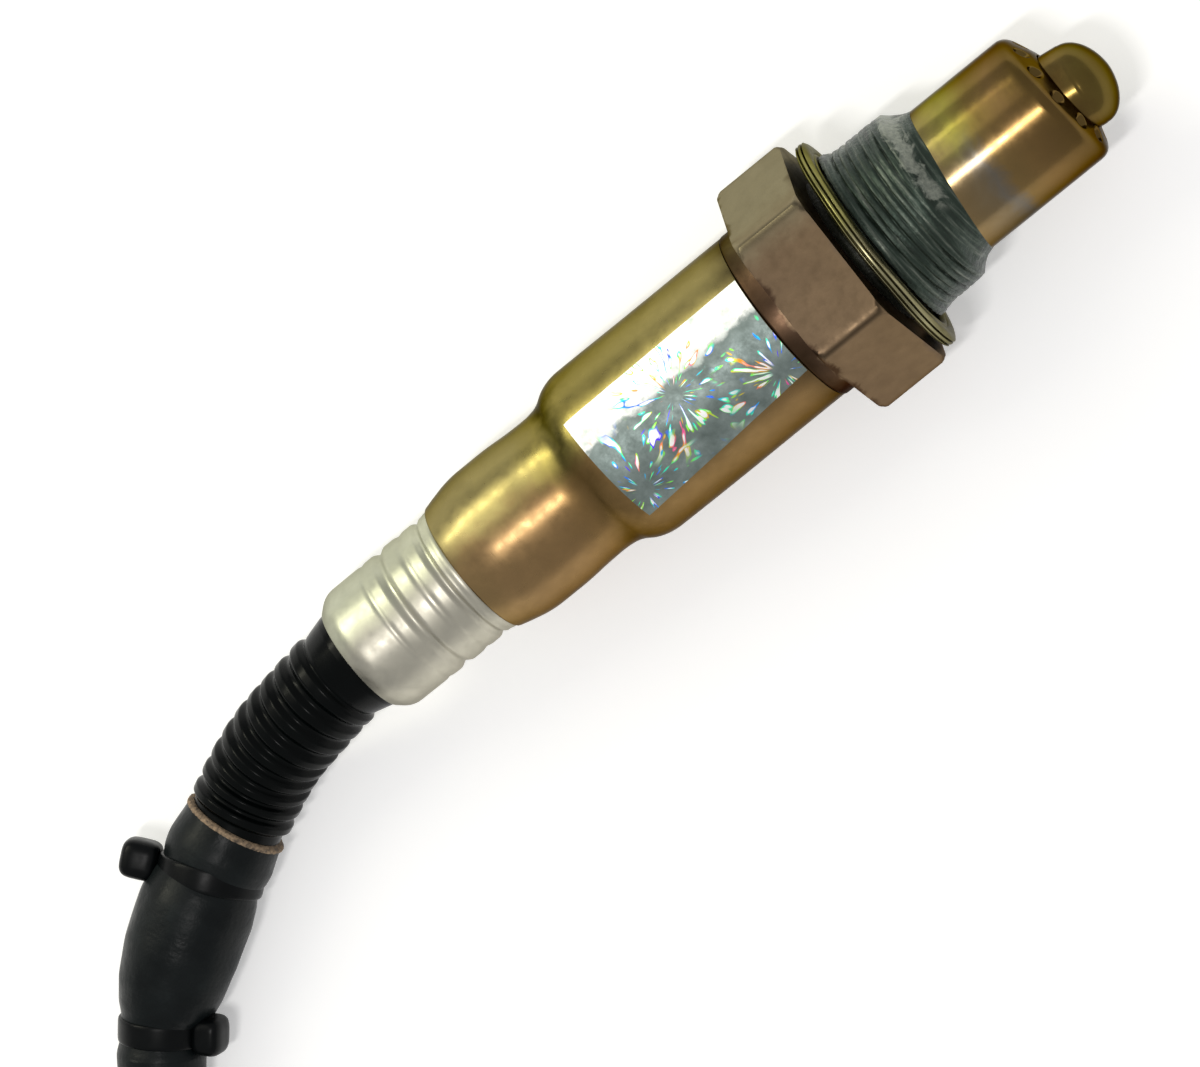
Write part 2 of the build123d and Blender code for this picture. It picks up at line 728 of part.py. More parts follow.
def cable_tie_front():
    """Tie near the sleeve's mouth, with its head on the left of the cable seen from the sensor."""
    return cable_tie(route_line(SLEEVE_ROUTE), 0.41, SLEEVE_D, -1)


def cable_tie_rear():
    """Tie where the sleeve narrows, with its head on the other side."""
    return cable_tie(route_line(CABLE_ROUTE), 0.034, CABLE_D, 1)


# ---------------------------------------------------------------- plug
def plug_frame():
    """Centre of the plug's rear end, on the surface that everything lies on."""
    return Pos(PLUG_X - PLUG_LENGTH / 2, coil_centre().Y, FLOOR_Z + PLUG_HEIGHT / 2)


def plug_cavities():
    """Places of the six cavities, in two rows of three."""
    return [(c * PLUG_PITCH_Y, r * PLUG_PITCH_Z / 2) for r in (-1, 1) for c in (-1, 0, 1)]


def plug_wire_cavities():
    """The five cavities that hold a wire."""
    return plug_cavities()[:5]


def plug_section(inset):
    """Rounded outline of the plug, seen along X."""
    return RectangleRounded(PLUG_WIDTH - 2 * inset, PLUG_HEIGHT - 2 * inset, PLUG_CORNER - inset / 2)


def plug_prism(x0, x1, *sections):
    """Prism along the plug between two distances from its rear end."""
    return plug_frame() * along_x(x0, x1, *sections)


def block_x():
    """Front of the solid block in the housing, where the socket's floor is."""
    return PLUG_LENGTH - PLUG_SOCKET_DEPTH


def housing_back_x():
    """Rear end of the housing proper, in front of the cap."""
    return CAP_LENGTH


def plug_housing():
    """Moulded housing: wire end, block with six cavities, open socket and latch ramp."""
    body = plug_prism(housing_back_x(), PLUG_LENGTH, plug_section(0))
    body -= plug_prism(block_x(), PLUG_LENGTH, plug_section(PLUG_WALL))
    pocket = plug_section(PLUG_WALL)
    body -= plug_prism(housing_back_x(), housing_back_x() + SEAL_LENGTH, pocket)
    spots = [Pos(y, z) * Rectangle(PIN_WIDTH + 2 * FIT, PIN_THICKNESS + 2 * FIT) for y, z in plug_cavities()]
    body -= plug_prism(housing_back_x() + SEAL_LENGTH, block_x(), *spots)
    lock_x = block_x() - 2 * LOCK_LENGTH
    body -= plug_prism(lock_x, lock_x + LOCK_LENGTH + 2 * LOCK_PLAY, Pos(0, PLUG_HEIGHT / 2) * lock_section(LOCK_PLAY))
    rails = [Pos(s * (PLUG_WIDTH / 2 + 0.5), 1.5) * Rectangle(1.0, 2.0) for s in (-1, 1)]
    body += plug_prism(block_x(), PLUG_LENGTH - 2, *rails)
    ramp = plug_frame() * Pos(0, 0, PLUG_HEIGHT / 2) * extrude(
        Plane.XZ
        * make_face(
            Polyline(
                (PLUG_LENGTH - 9, -PLUG_WALL / 2),
                (PLUG_LENGTH - 9, LATCH_RISE),
                (PLUG_LENGTH - 7.5, LATCH_RISE),
                (PLUG_LENGTH - 4, 0),
                (PLUG_LENGTH - 4, -PLUG_WALL / 2),
                close=True,
            )
        ),
        LATCH_WIDTH / 2,
        both=True,
    )
    guards = [Pos(s * (LATCH_WIDTH / 2 + 1.4), PLUG_HEIGHT / 2 + 0.7) * Rectangle(1.2, 1.6) for s in (-1, 1)]
    body += ramp
    body += plug_prism(PLUG_LENGTH - LATCH_LENGTH, PLUG_LENGTH - 3, *guards)
    return body


def lock_section(play):
    """Slot and plate of the secondary lock, seen along the plug."""
    return Rectangle(PLUG_WIDTH - 2 * PLUG_WALL - 2 + 2 * play, PLUG_WALL * 2 + 2 * play)


def plug_lock():
    """Coloured plate that slides in across the cavities and holds the terminals."""
    x = block_x() - 2 * LOCK_LENGTH + LOCK_PLAY
    return plug_prism(x, x + LOCK_LENGTH, Pos(0, PLUG_HEIGHT / 2) * lock_section(0))


def plug_rear_cap():
    """Perforated cap behind the wire seal."""
    cap = plug_prism(0, housing_back_x(), plug_section(0.6))
    return cap - plug_prism(0, housing_back_x(), *[Pos(y, z) * Circle(PLUG_WIRE_D / 2 + 0.15) for y, z in plug_cavities()])


def plug_wire_seal():
    """Mat seal that the wires pass through."""
    start = housing_back_x()
    mat = plug_prism(start, start + SEAL_LENGTH, plug_section(PLUG_WALL + FIT))
    holes = [Pos(y, z) * Circle(PLUG_WIRE_D / 2 + FIT) for y, z in plug_wire_cavities()]
    return mat - plug_prism(start, start + SEAL_LENGTH, *holes)


def plug_rim_seal():
    """Ribbed seal round the root of the socket."""
    start = block_x()
    outer = plug_section(PLUG_WALL + FIT)
    inner = plug_section(PLUG_WALL + RIM_SEAL_THICKNESS)
    return plug_prism(start, start + RIM_SEAL_LENGTH, outer - inner)


def plug_pins():
    """Terminals: a blade in the socket and a tail to the wire in each wired cavity."""
    pins = []
    for y, z in plug_wire_cavities():
        blade = plug_prism(
            housing_back_x() + SEAL_LENGTH,
            block_x() + PIN_STAND,
            Pos(y, z) * Rectangle(PIN_WIDTH, PIN_THICKNESS),
        )
        tip = blade.edges().filter_by(Axis.Y).sort_by(Axis.X)[-2:]
        pins.append(chamfer(tip, 0.3))
    return pins


def plug_wires():
    """Five bare wires from the end of the sleeve round into the plug."""
    tail = 360 * COIL_TURNS
    end = coil_point(tail)
    heading = radians(coil_heading() - tail)
    ahead = Vector(cos(heading), sin(heading), 0)
    left = Vector(-sin(heading), cos(heading), 0)
    start_z = FLOOR_Z + CABLE_D / 2
    entry = plug_frame().position
    wires = []
    for (y, z), (across, up) in zip(plug_wire_cavities(), [(-2.1, -1.1), (0, -1.3), (2.1, -1.1), (-1.1, 1.2), (1.1, 1.2)]):
        begin = end + left * across + Vector(0, 0, start_z + up)
        inlet = Vector(entry.X, entry.Y + y, entry.Z + z)
        depth = entry.X + housing_back_x() + SEAL_LENGTH - FIT
        wires.append(wire_path(begin, ahead, inlet, depth, across))
    return wires


def wire_path(begin, ahead, inlet, depth, across):
    """One bare wire: out of the sleeve, round the inside of the coil and straight into its cavity."""
    west = coil_centre().X - WIRE_SWING - 0.9 * across
    z1 = begin.Z
    z2 = (begin.Z + inlet.Z) / 2
    lean = (west - begin.X) / ahead.X
    corner = begin + ahead * lean
    route = [
        begin,
        Vector(corner.X, corner.Y, z1),
        Vector(west + 0.6, (corner.Y + inlet.Y) / 2 + 3.0, z2),
        Vector(inlet.X - 5.5, inlet.Y, inlet.Z),
        Vector(depth, inlet.Y, inlet.Z),
    ]
    line = FilletPolyline(*route, radius=bend_radii(route, 0.42))
    return swept_round(line, PLUG_WIRE_D)


PARTS = {
    "hex_body": hex_body,
    "sealing_ring": sealing_ring,
    "outer_protection_tube": outer_protection_tube,
    "inner_protection_tube": inner_protection_tube,
    "front_ceramic_bush": front_bush,
    "powder_seal": powder_seal,
    "rear_ceramic_bush": rear_bush,
    "clamp_ring": clamp_ring,
    "sensing_element": sensing_element,
    "contact_holder_upper": lambda: contact_holder(1),
    "contact_holder_lower": lambda: contact_holder(-1),
    "holder_band": holder_band,
    "contact_clips": contact_clips,
    "rear_sheath": rear_sheath,
    "foil_label": foil_label,
    "crimp_sleeve": crimp_sleeve,
    "grommet": grommet,
    "lead_wires": lead_wires,
    "corrugated_hose": corrugated_hose,
    "sleeve_end_band": sleeve_end_band,
    "sleeve_mouth": sleeve_mouth,
    "cable_run": cable_run,
    "cable_coil": cable_coil,
    "cable_tie_front": cable_tie_front,
    "cable_tie_rear": cable_tie_rear,
    "plug_wires": plug_wires,
    "plug_rear_cap": plug_rear_cap,
    "plug_wire_seal": plug_wire_seal,
    "plug_housing": plug_housing,
    "plug_lock": plug_lock,
    "plug_rim_seal": plug_rim_seal,
    "plug_pins": plug_pins,
}


def build():
    """Write one STEP file for each piece."""
    os.makedirs("parts", exist_ok=True)
    for name, make in PARTS.items():
        shape = make()
        if isinstance(shape, list):
            shape = Compound(children=[s.solid() for s in shape])
        export_step(shape, f"parts/{name}.step")
        print(name, round(shape.volume, 2), "mm3")
    for label, route in (("hose", HOSE_ROUTE), ("sleeve", SLEEVE_ROUTE), ("cable", CABLE_ROUTE)):
        line = route_line(route)
        print(label, "length", round(line.length, 2), "bend radii", [round(r, 1) for r in bend_radii(route)])
    print("cable_run section x length", round(pi * CABLE_D**2 / 4 * route_line(CABLE_ROUTE).length, 2))
    coil_length = 2 * pi * COIL_TURNS * (COIL_RADIUS - COIL_PITCH * COIL_TURNS / 2)
    print("coil length", round(coil_length, 1), "centre", coil_centre())


build()
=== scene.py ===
"""Looks of a planar exhaust oxygen sensor lying on a pale floor with its sleeved cable.

The frame is metres, with +X along the sensor's axis towards the gas tip and X = 0 at the seat
face of the hexagon. Every surface here is worked out on a grid of two parameters and laid over
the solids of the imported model.
"""

from __future__ import annotations

import logging
import math
from dataclasses import dataclass, field
from enum import Enum

import bmesh
import bpy
import numpy as np
from mathutils import Matrix, Vector

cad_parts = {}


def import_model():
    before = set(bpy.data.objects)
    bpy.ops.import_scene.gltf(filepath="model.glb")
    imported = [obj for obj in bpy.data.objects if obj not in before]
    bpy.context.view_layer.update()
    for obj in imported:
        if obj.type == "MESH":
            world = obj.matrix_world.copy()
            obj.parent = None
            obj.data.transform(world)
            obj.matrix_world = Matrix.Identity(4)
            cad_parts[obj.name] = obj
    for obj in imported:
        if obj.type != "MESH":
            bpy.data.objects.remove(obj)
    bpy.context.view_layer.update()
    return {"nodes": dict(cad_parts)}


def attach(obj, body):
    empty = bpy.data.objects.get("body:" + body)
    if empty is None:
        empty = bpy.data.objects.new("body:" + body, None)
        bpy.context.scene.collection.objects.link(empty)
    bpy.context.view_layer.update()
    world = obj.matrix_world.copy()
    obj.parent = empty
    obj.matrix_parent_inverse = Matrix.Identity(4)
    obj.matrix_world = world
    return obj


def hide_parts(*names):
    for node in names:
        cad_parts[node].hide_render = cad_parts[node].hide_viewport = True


Socket = bpy.types.NodeSocket
Thing = bpy.types.Object
Material = bpy.types.Material
Triple = tuple[float, float, float]
Display = tuple[int, int, int]
Tint = tuple[float, Display]
LOG = logging.getLogger("oxygen_sensor")
MM = 0.001
FLOOR_Z = -11.0


# ---------------------------------------------------------------- surfaces
@dataclass
class Surface:
    """Points in millimetres, the quads between them and an optional coordinate per point."""

    points: np.ndarray
    quads: np.ndarray
    along: np.ndarray | None = None


class Wrap(Enum):
    """How a grid of points closes on itself."""

    OPEN = "open"
    AROUND = "around"
    BOTH = "both"


def grid_quads(rows: int, columns: int, wrap: Wrap) -> np.ndarray:
    """Quads between the neighbours of a grid.

    Args:
        rows: number of points along the first parameter.
        columns: number of points along the second parameter.
        wrap: whether the columns, or both, close on themselves.

    Returns:
        One row of four point numbers for each quad.
    """
    row_count = rows if wrap is Wrap.BOTH else rows - 1
    column_count = columns if wrap is not Wrap.OPEN else columns - 1
    i, j = np.meshgrid(np.arange(row_count), np.arange(column_count), indexing="ij")
    i2, j2 = (i + 1) % rows, (j + 1) % columns
    corners = [i * columns + j, i * columns + j2, i2 * columns + j2, i2 * columns + j]
    return np.stack(corners, axis=-1).reshape(-1, 4)


def grid_surface(points: np.ndarray, wrap: Wrap, along: np.ndarray | None = None) -> Surface:
    """Surface over a grid of points.

    Args:
        points: array of rows by columns by three.
        wrap: how the grid closes on itself.
        along: one coordinate per point, as rows by columns by two, kept for materials.

    Returns:
        The surface with its points in one list.
    """
    rows, columns = points.shape[:2]
    flat = None if along is None else along.reshape(-1, 2)
    return Surface(points.reshape(-1, 3), grid_quads(rows, columns, wrap), flat)


def eased(stations: list[Triple], steps: int = 6) -> np.ndarray:
    """Profile through stations with each corner eased.

    A corner P with ease d is replaced by the parabola from P - d toward the point before to
    P + d toward the point after, with P as its middle control point.

    Args:
        stations: (x, radius, ease) in millimetres.
        steps: points on each parabola.

    Returns:
        Array of (x, radius) along the profile.
    """
    table = np.array(stations, dtype=float)
    corner, ease = table[:, :2], table[:, 2]
    before = np.vstack([corner[:1], corner[:-1]])
    after = np.vstack([corner[1:], corner[-1:]])
    back, ahead = before - corner, after - corner
    back_length = np.linalg.norm(back, axis=1)
    ahead_length = np.linalg.norm(ahead, axis=1)
    reach = np.minimum(ease, 0.5 * np.minimum(back_length, ahead_length))
    reach[[0, -1]] = 0
    start = corner + back * (reach / np.maximum(back_length, 1e-9))[:, None]
    end = corner + ahead * (reach / np.maximum(ahead_length, 1e-9))[:, None]
    t = np.linspace(0, 1, steps)[None, :, None]
    curve = (1 - t) ** 2 * start[:, None] + 2 * t * (1 - t) * corner[:, None] + t**2 * end[:, None]
    flat = curve.reshape(-1, 2)
    keep = np.r_[True, np.linalg.norm(np.diff(flat, axis=0), axis=1) > 1e-6]
    return flat[keep]


def resampled(profile: np.ndarray, spacing: float | np.ndarray) -> np.ndarray:
    """Profile with points added so that none are further apart than the spacing.

    Each run is divided evenly into as many parts as its length over the spacing, rounded up.

    Args:
        profile: (x, radius) points.
        spacing: largest distance between neighbours in millimetres, the same or one for each run.

    Returns:
        The denser profile.
    """
    run = np.linalg.norm(np.diff(profile, axis=0), axis=1)
    parts = np.maximum(1, np.ceil(run / spacing)).astype(int)
    index = np.repeat(np.arange(len(run)), parts)
    offset = np.arange(len(index)) - np.repeat(np.cumsum(parts) - parts, parts)
    share = (offset / parts[index])[:, None]
    points = profile[index] * (1 - share) + profile[index + 1] * share
    return np.vstack([points, profile[-1:]])


def ripple(x: np.ndarray, angle: np.ndarray, seed: int, waves: int, finest: int) -> np.ndarray:
    """Smooth repeatable unevenness between about -1 and 1.

    It is the mean of sines whose waves along x and whose whole turns round the axis are drawn
    from a seeded table, so it closes on itself after one turn.

    Args:
        x: positions along the axis in millimetres.
        angle: angles round the axis in radians, spread over the positions.
        seed: number that picks the table.
        waves: how many sines are summed.
        finest: most turns round the axis in one sine.

    Returns:
        The unevenness at each point.
    """
    slowest, fastest, height = 0.15, 1.1, 1.8
    table = np.random.default_rng(seed)
    turns = table.integers(1, finest + 1, waves)
    pitch = table.uniform(slowest, fastest, waves) * np.where(table.random(waves) > 0.5, 1, -1)
    phase = table.uniform(0, 2 * np.pi, waves)
    total = np.sin(x[..., None] * pitch + angle[..., None] * turns + phase)
    return total.mean(axis=-1) * height


@dataclass(frozen=True)
class Lean:
    """Tilt of the sections about X and drift of their middles, both in plan, from a start on."""

    tilt: float
    drift: float
    start: float
    full: float

    def apply(self, points: np.ndarray) -> np.ndarray:
        """Tilt and shift points.

        X loses y times the tilt's slope, and y gains the drift's slope past the start.

        Args:
            points: turned grid in millimetres.

        Returns:
            The points with the tilt eased in between the start and where it is full.
        """
        share = np.clip((points[..., 0] - self.start) / (self.full - self.start), 0, 1)
        eased_in = share * share * (3 - 2 * share)
        out = points.copy()
        out[..., 0] -= points[..., 1] * eased_in * math.tan(math.radians(self.tilt))
        past = np.maximum(points[..., 0] - self.start, 0)
        out[..., 1] += past * math.tan(math.radians(self.drift))
        return out


def turned_points(profile: np.ndarray, segments: int) -> tuple[np.ndarray, np.ndarray]:
    """Grid of points where a profile is turned about X.

    A point is (x, r cos a, r sin a), with a going once round.

    Args:
        profile: (x, radius) points.
        segments: points round the axis.

    Returns:
        The points as profile by segments by three, and the angles of the columns.
    """
    angle = np.linspace(0, 2 * np.pi, segments, endpoint=False)
    x = np.broadcast_to(profile[:, :1], (len(profile), segments))
    r = profile[:, 1:2]
    points = np.stack([x, r * np.cos(angle), r * np.sin(angle)], axis=-1)
    return points, angle


def shaped(points: np.ndarray, change: np.ndarray) -> np.ndarray:
    """Move each point of a turned grid away from X by the change at it."""
    radius = np.linalg.norm(points[..., 1:], axis=-1)
    scale = 1 + change / np.maximum(radius, 1e-6)
    out = points.copy()
    out[..., 1:] *= scale[..., None]
    return out


def capped(points: np.ndarray, along: np.ndarray | None = None) -> Surface:
    """Surface over a grid that wraps around, closed at both ends by a middle point.

    Args:
        points: array of rows by columns by three.
        along: one coordinate per point, as rows by columns by two, kept for materials.

    Returns:
        The surface with its caps, whose quads repeat the middle point as a triangle does.
    """
    rows, columns = points.shape[:2]
    surface = grid_surface(points, Wrap.AROUND, along)
    places, faces = [surface.points], [surface.quads]
    coordinates = None if along is None else [surface.along]
    for cap, (row, turn) in enumerate(((0, 1), (rows - 1, -1))):
        ring = row * columns + np.arange(columns)
        places.append(surface.points[ring].mean(axis=0)[None])
        if coordinates is not None:
            coordinates.append(surface.along[ring].mean(axis=0)[None])
        pair = np.stack([ring, np.roll(ring, -1)][::turn], axis=-1)
        centre = np.full((columns, 2), len(surface.points) + cap)
        faces.append(np.hstack([pair[:, ::-1], centre]))
    merged = None if coordinates is None else np.vstack(coordinates)
    return Surface(np.vstack(places), np.vstack(faces), merged)


def path_frames(path: np.ndarray) -> tuple[np.ndarray, np.ndarray, np.ndarray, np.ndarray]:
    """Tangent, side and up vectors along a path that never stands upright.

    The tangent is the difference of the neighbours; side is Z crossed with it; up is the rest.

    Args:
        path: points in millimetres.

    Returns:
        Tangents, sides, ups and the distance run along the path.
    """
    tangent = np.gradient(path, axis=0)
    tangent /= np.linalg.norm(tangent, axis=1, keepdims=True)
    side = np.cross(np.array([0.0, 0.0, 1.0]), tangent)
    side /= np.linalg.norm(side, axis=1, keepdims=True)
    up = np.cross(tangent, side)
    run = np.r_[0, np.cumsum(np.linalg.norm(np.diff(path, axis=0), axis=1))]
    return tangent, side, up, run


def path_at(path: np.ndarray, run: np.ndarray, distance: np.ndarray | float) -> np.ndarray:
    """Points at distances along a path, straight between its own points."""
    return np.stack([np.interp(distance, run, path[:, k]) for k in range(3)], axis=-1)


def tube_along(path: np.ndarray, radius: np.ndarray, lift: np.ndarray | None = None) -> Surface:
    """Round tube carried along a path.

    A point is path + r (side cos a + up sin a), with r depending on the place and the angle.

    Args:
        path: points in millimetres.
        radius: radius for each point and each angle.
        lift: height added to each point of the path.

    Returns:
        Closed surface whose coordinate is the distance along it and the share of a turn.
    """
    centre = path if lift is None else path + np.outer(lift, [0, 0, 1])
    _, side, up, run = path_frames(centre)
    angle = np.linspace(0, 2 * np.pi, radius.shape[1], endpoint=False)
    cosine, sine = np.cos(angle)[None, :, None], np.sin(angle)[None, :, None]
    points = centre[:, None] + radius[..., None] * (side[:, None] * cosine + up[:, None] * sine)
    share = np.broadcast_to(angle / (2 * np.pi), radius.shape)
    along = np.stack([np.broadcast_to(run[:, None], radius.shape), share], axis=-1)
    return capped(points[:, ::-1], along[:, ::-1])


# ---------------------------------------------------------------- pieces
def mesh_object(name: str, surface: Surface, crease: float = 35.0) -> Thing:
    """Blender object for a surface, with soft shading and creased edges kept sharp.

    Args:
        name: the piece's name.
        surface: its points, quads and coordinates.
        crease: angle in degrees above which an edge stays sharp.

    Returns:
        The object, at the origin.
    """
    mesh = bpy.data.meshes.new(name)
    repeated = surface.quads[:, 2] == surface.quads[:, 3]
    quads, triangles = surface.quads[~repeated], surface.quads[repeated][:, :3]
    loops = np.concatenate([quads.ravel(), triangles.ravel()]).astype(np.int32)
    totals = np.r_[np.full(len(quads), 4), np.full(len(triangles), 3)].astype(np.int32)
    starts = np.r_[0, np.cumsum(totals)[:-1]].astype(np.int32)
    mesh.vertices.add(len(surface.points))
    mesh.vertices.foreach_set("co", (surface.points * MM).astype(np.float32).ravel())
    mesh.loops.add(len(loops))
    mesh.loops.foreach_set("vertex_index", loops)
    mesh.polygons.add(len(totals))
    mesh.polygons.foreach_set("loop_start", starts)
    mesh.polygons.foreach_set("loop_total", totals)
    if surface.along is not None:
        layer = mesh.uv_layers.new(name="along")
        layer.data.foreach_set("uv", surface.along[loops].astype(np.float32).ravel())
    mesh.update(calc_edges=True)
    mesh.validate()
    shell = bmesh.new()
    shell.from_mesh(mesh)
    bmesh.ops.remove_doubles(shell, verts=shell.verts, dist=1e-7)
    bmesh.ops.recalc_face_normals(shell, faces=shell.faces)
    shell.to_mesh(mesh)
    shell.free()
    mesh.polygons.foreach_set("use_smooth", np.ones(len(mesh.polygons), dtype=bool))
    mesh.set_sharp_from_angle(angle=math.radians(crease))
    thing = bpy.data.objects.new(name, mesh)
    bpy.context.scene.collection.objects.link(thing)
    return thing


def joined(*surfaces: Surface) -> Surface:
    """One surface from several, each kept as its own closed shell."""
    counts = np.cumsum([0] + [len(s.points) for s in surfaces[:-1]])
    quads = np.vstack([s.quads + c for s, c in zip(surfaces, counts)])
    along = None
    if all(s.along is not None for s in surfaces):
        along = np.vstack([s.along for s in surfaces])
    return Surface(np.vstack([s.points for s in surfaces]), quads, along)


def dress(thing: Thing, material: Material) -> None:
    """Give a new piece its material and its ride on the one body."""
    thing.data.materials.append(material)
    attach(thing, "root")
    LOG.info("%s: %d faces", thing.name, len(thing.data.polygons))


# ---------------------------------------------------------------- finishes
class Recipe:
    """Node tree of one material, with short ways to add and join its nodes."""

    def __init__(self, name: str) -> None:
        """Start a material with its main shader."""
        self.material = bpy.data.materials.new(name)
        self.material.use_nodes = True
        self.nodes = self.material.node_tree.nodes
        self.links = self.material.node_tree.links
        self.shader = self.nodes["Principled BSDF"]
        self._place = None

    def set(self, **values: float | tuple[float, ...]) -> None:
        """Set the shader's sockets by name, with underscores for spaces."""
        for key, value in values.items():
            self.shader.inputs[key.replace("_", " ")].default_value = value

    def feed(self, socket: str, output: Socket) -> None:
        """Join an output to one of the shader's sockets."""
        self.links.new(output, self.shader.inputs[socket])

    def place(self) -> Socket:
        """Object coordinates."""
        if self._place is None:
            self._place = self.nodes.new("ShaderNodeTexCoord").outputs["Object"]
        return self._place

    def surface_place(self) -> Socket:
        """The piece's own coordinates along and round it."""
        node = self.nodes.new("ShaderNodeUVMap")
        node.uv_map = "along"
        return node.outputs["UV"]

    def stretched(self, vector: Socket, scale: Triple) -> Socket:
        """A coordinate scaled along each axis."""
        node = self.nodes.new("ShaderNodeMapping")
        node.inputs["Scale"].default_value = scale
        self.links.new(vector, node.inputs["Vector"])
        return node.outputs["Vector"]

    def parts(self, vector: Socket) -> tuple[Socket, ...]:
        """The three numbers of a coordinate."""
        node = self.nodes.new("ShaderNodeSeparateXYZ")
        self.links.new(vector, node.inputs[0])
        return tuple(node.outputs)

    def noise(self, vector: Socket, scale: float, detail: float, roughness: float = 0.55,
              distortion: float = 0.0) -> Socket:
        """Cloudy value between 0 and 1."""
        node = self.nodes.new("ShaderNodeTexNoise")
        node.inputs["Scale"].default_value = scale
        node.inputs["Detail"].default_value = detail
        node.inputs["Roughness"].default_value = roughness
        node.inputs["Distortion"].default_value = distortion
        self.links.new(vector, node.inputs["Vector"])
        return node.outputs["Fac"]

    def ramp(self, value: Socket, stops: list[tuple[float, Triple]]) -> Socket:
        """Colour for a value, from stops of (place, colour)."""
        node = self.nodes.new("ShaderNodeValToRGB")
        elements = node.color_ramp.elements
        while len(elements) < len(stops):
            elements.new(0.5)
        for element, (place, colour) in zip(elements, stops):
            element.position = place
            element.color = (*colour, 1)
        self.links.new(value, node.inputs["Fac"])
        return node.outputs["Color"]

    def levels(self, value: Socket, low: float, high: float, to_low: float = 0.0,
               to_high: float = 1.0, easing: str = "SMOOTHSTEP") -> Socket:
        """A value moved from one range to another, eased at both ends and kept inside it."""
        node = self.nodes.new("ShaderNodeMapRange")
        node.interpolation_type = easing
        limits = {"From Min": low, "From Max": high, "To Min": to_low, "To Max": to_high}
        for key, number in limits.items():
            node.inputs[key].default_value = number
        self.links.new(value, node.inputs["Value"])
        return node.outputs["Result"]

    def maths(self, operation: str, first: Socket, second: Socket | float = 0.0) -> Socket:
        """Arithmetic on one or two values."""
        node = self.nodes.new("ShaderNodeMath")
        node.operation = operation
        self.links.new(first, node.inputs[0])
        if isinstance(second, (int, float)):
            node.inputs[1].default_value = second
        else:
            self.links.new(second, node.inputs[1])
        return node.outputs["Value"]

    def plus(self, first: Socket, second: Socket | float) -> Socket:
        """Sum of two values."""
        return self.maths("ADD", first, second)

    def less(self, first: Socket, second: Socket | float) -> Socket:
        """First value less the second."""
        return self.maths("SUBTRACT", first, second)

    def times(self, first: Socket, second: Socket | float) -> Socket:
        """Product of two values."""
        return self.maths("MULTIPLY", first, second)

    def sway(self, value: Socket, reach: float) -> Socket:
        """A cloudy value turned into a shift to both sides of nothing."""
        return self.times(self.less(value, 0.5), reach)

    def blend(self, share: Socket | float, first: Socket | Triple, second: Socket | Triple,
              how: str = "MIX") -> Socket:
        """Two colours mixed by a share."""
        node = self.nodes.new("ShaderNodeMix")
        node.data_type = "RGBA"
        node.blend_type = how
        if isinstance(share, float):
            node.inputs["Factor"].default_value = share
        else:
            self.links.new(share, node.inputs["Factor"])
        for key, value in (("A", first), ("B", second)):
            socket = next(s for s in node.inputs if s.name == key and s.type == "RGBA")
            if isinstance(value, tuple):
                socket.default_value = (*value, 1)
            else:
                self.links.new(value, socket)
        return next(s for s in node.outputs if s.type == "RGBA")

    def bump(self, height: Socket, depth_mm: float, strength: float,
             under: Socket | None = None) -> Socket:
        """Normal for a height, with its depth in millimetres."""
        node = self.nodes.new("ShaderNodeBump")
        node.inputs["Strength"].default_value = strength
        node.inputs["Distance"].default_value = depth_mm * MM
        self.links.new(height, node.inputs["Height"])
        if under is not None:
            self.links.new(under, node.inputs["Normal"])
        return node.outputs["Normal"]


def linear(red: int, green: int, blue: int) -> Triple:
    """Linear colour for a display colour given in 0 to 255."""
    value = np.array([red, green, blue]) / 255.0
    out = np.where(value <= 0.04045, value / 12.92, ((value + 0.055) / 1.055) ** 2.4)
    return tuple(float(v) for v in out)


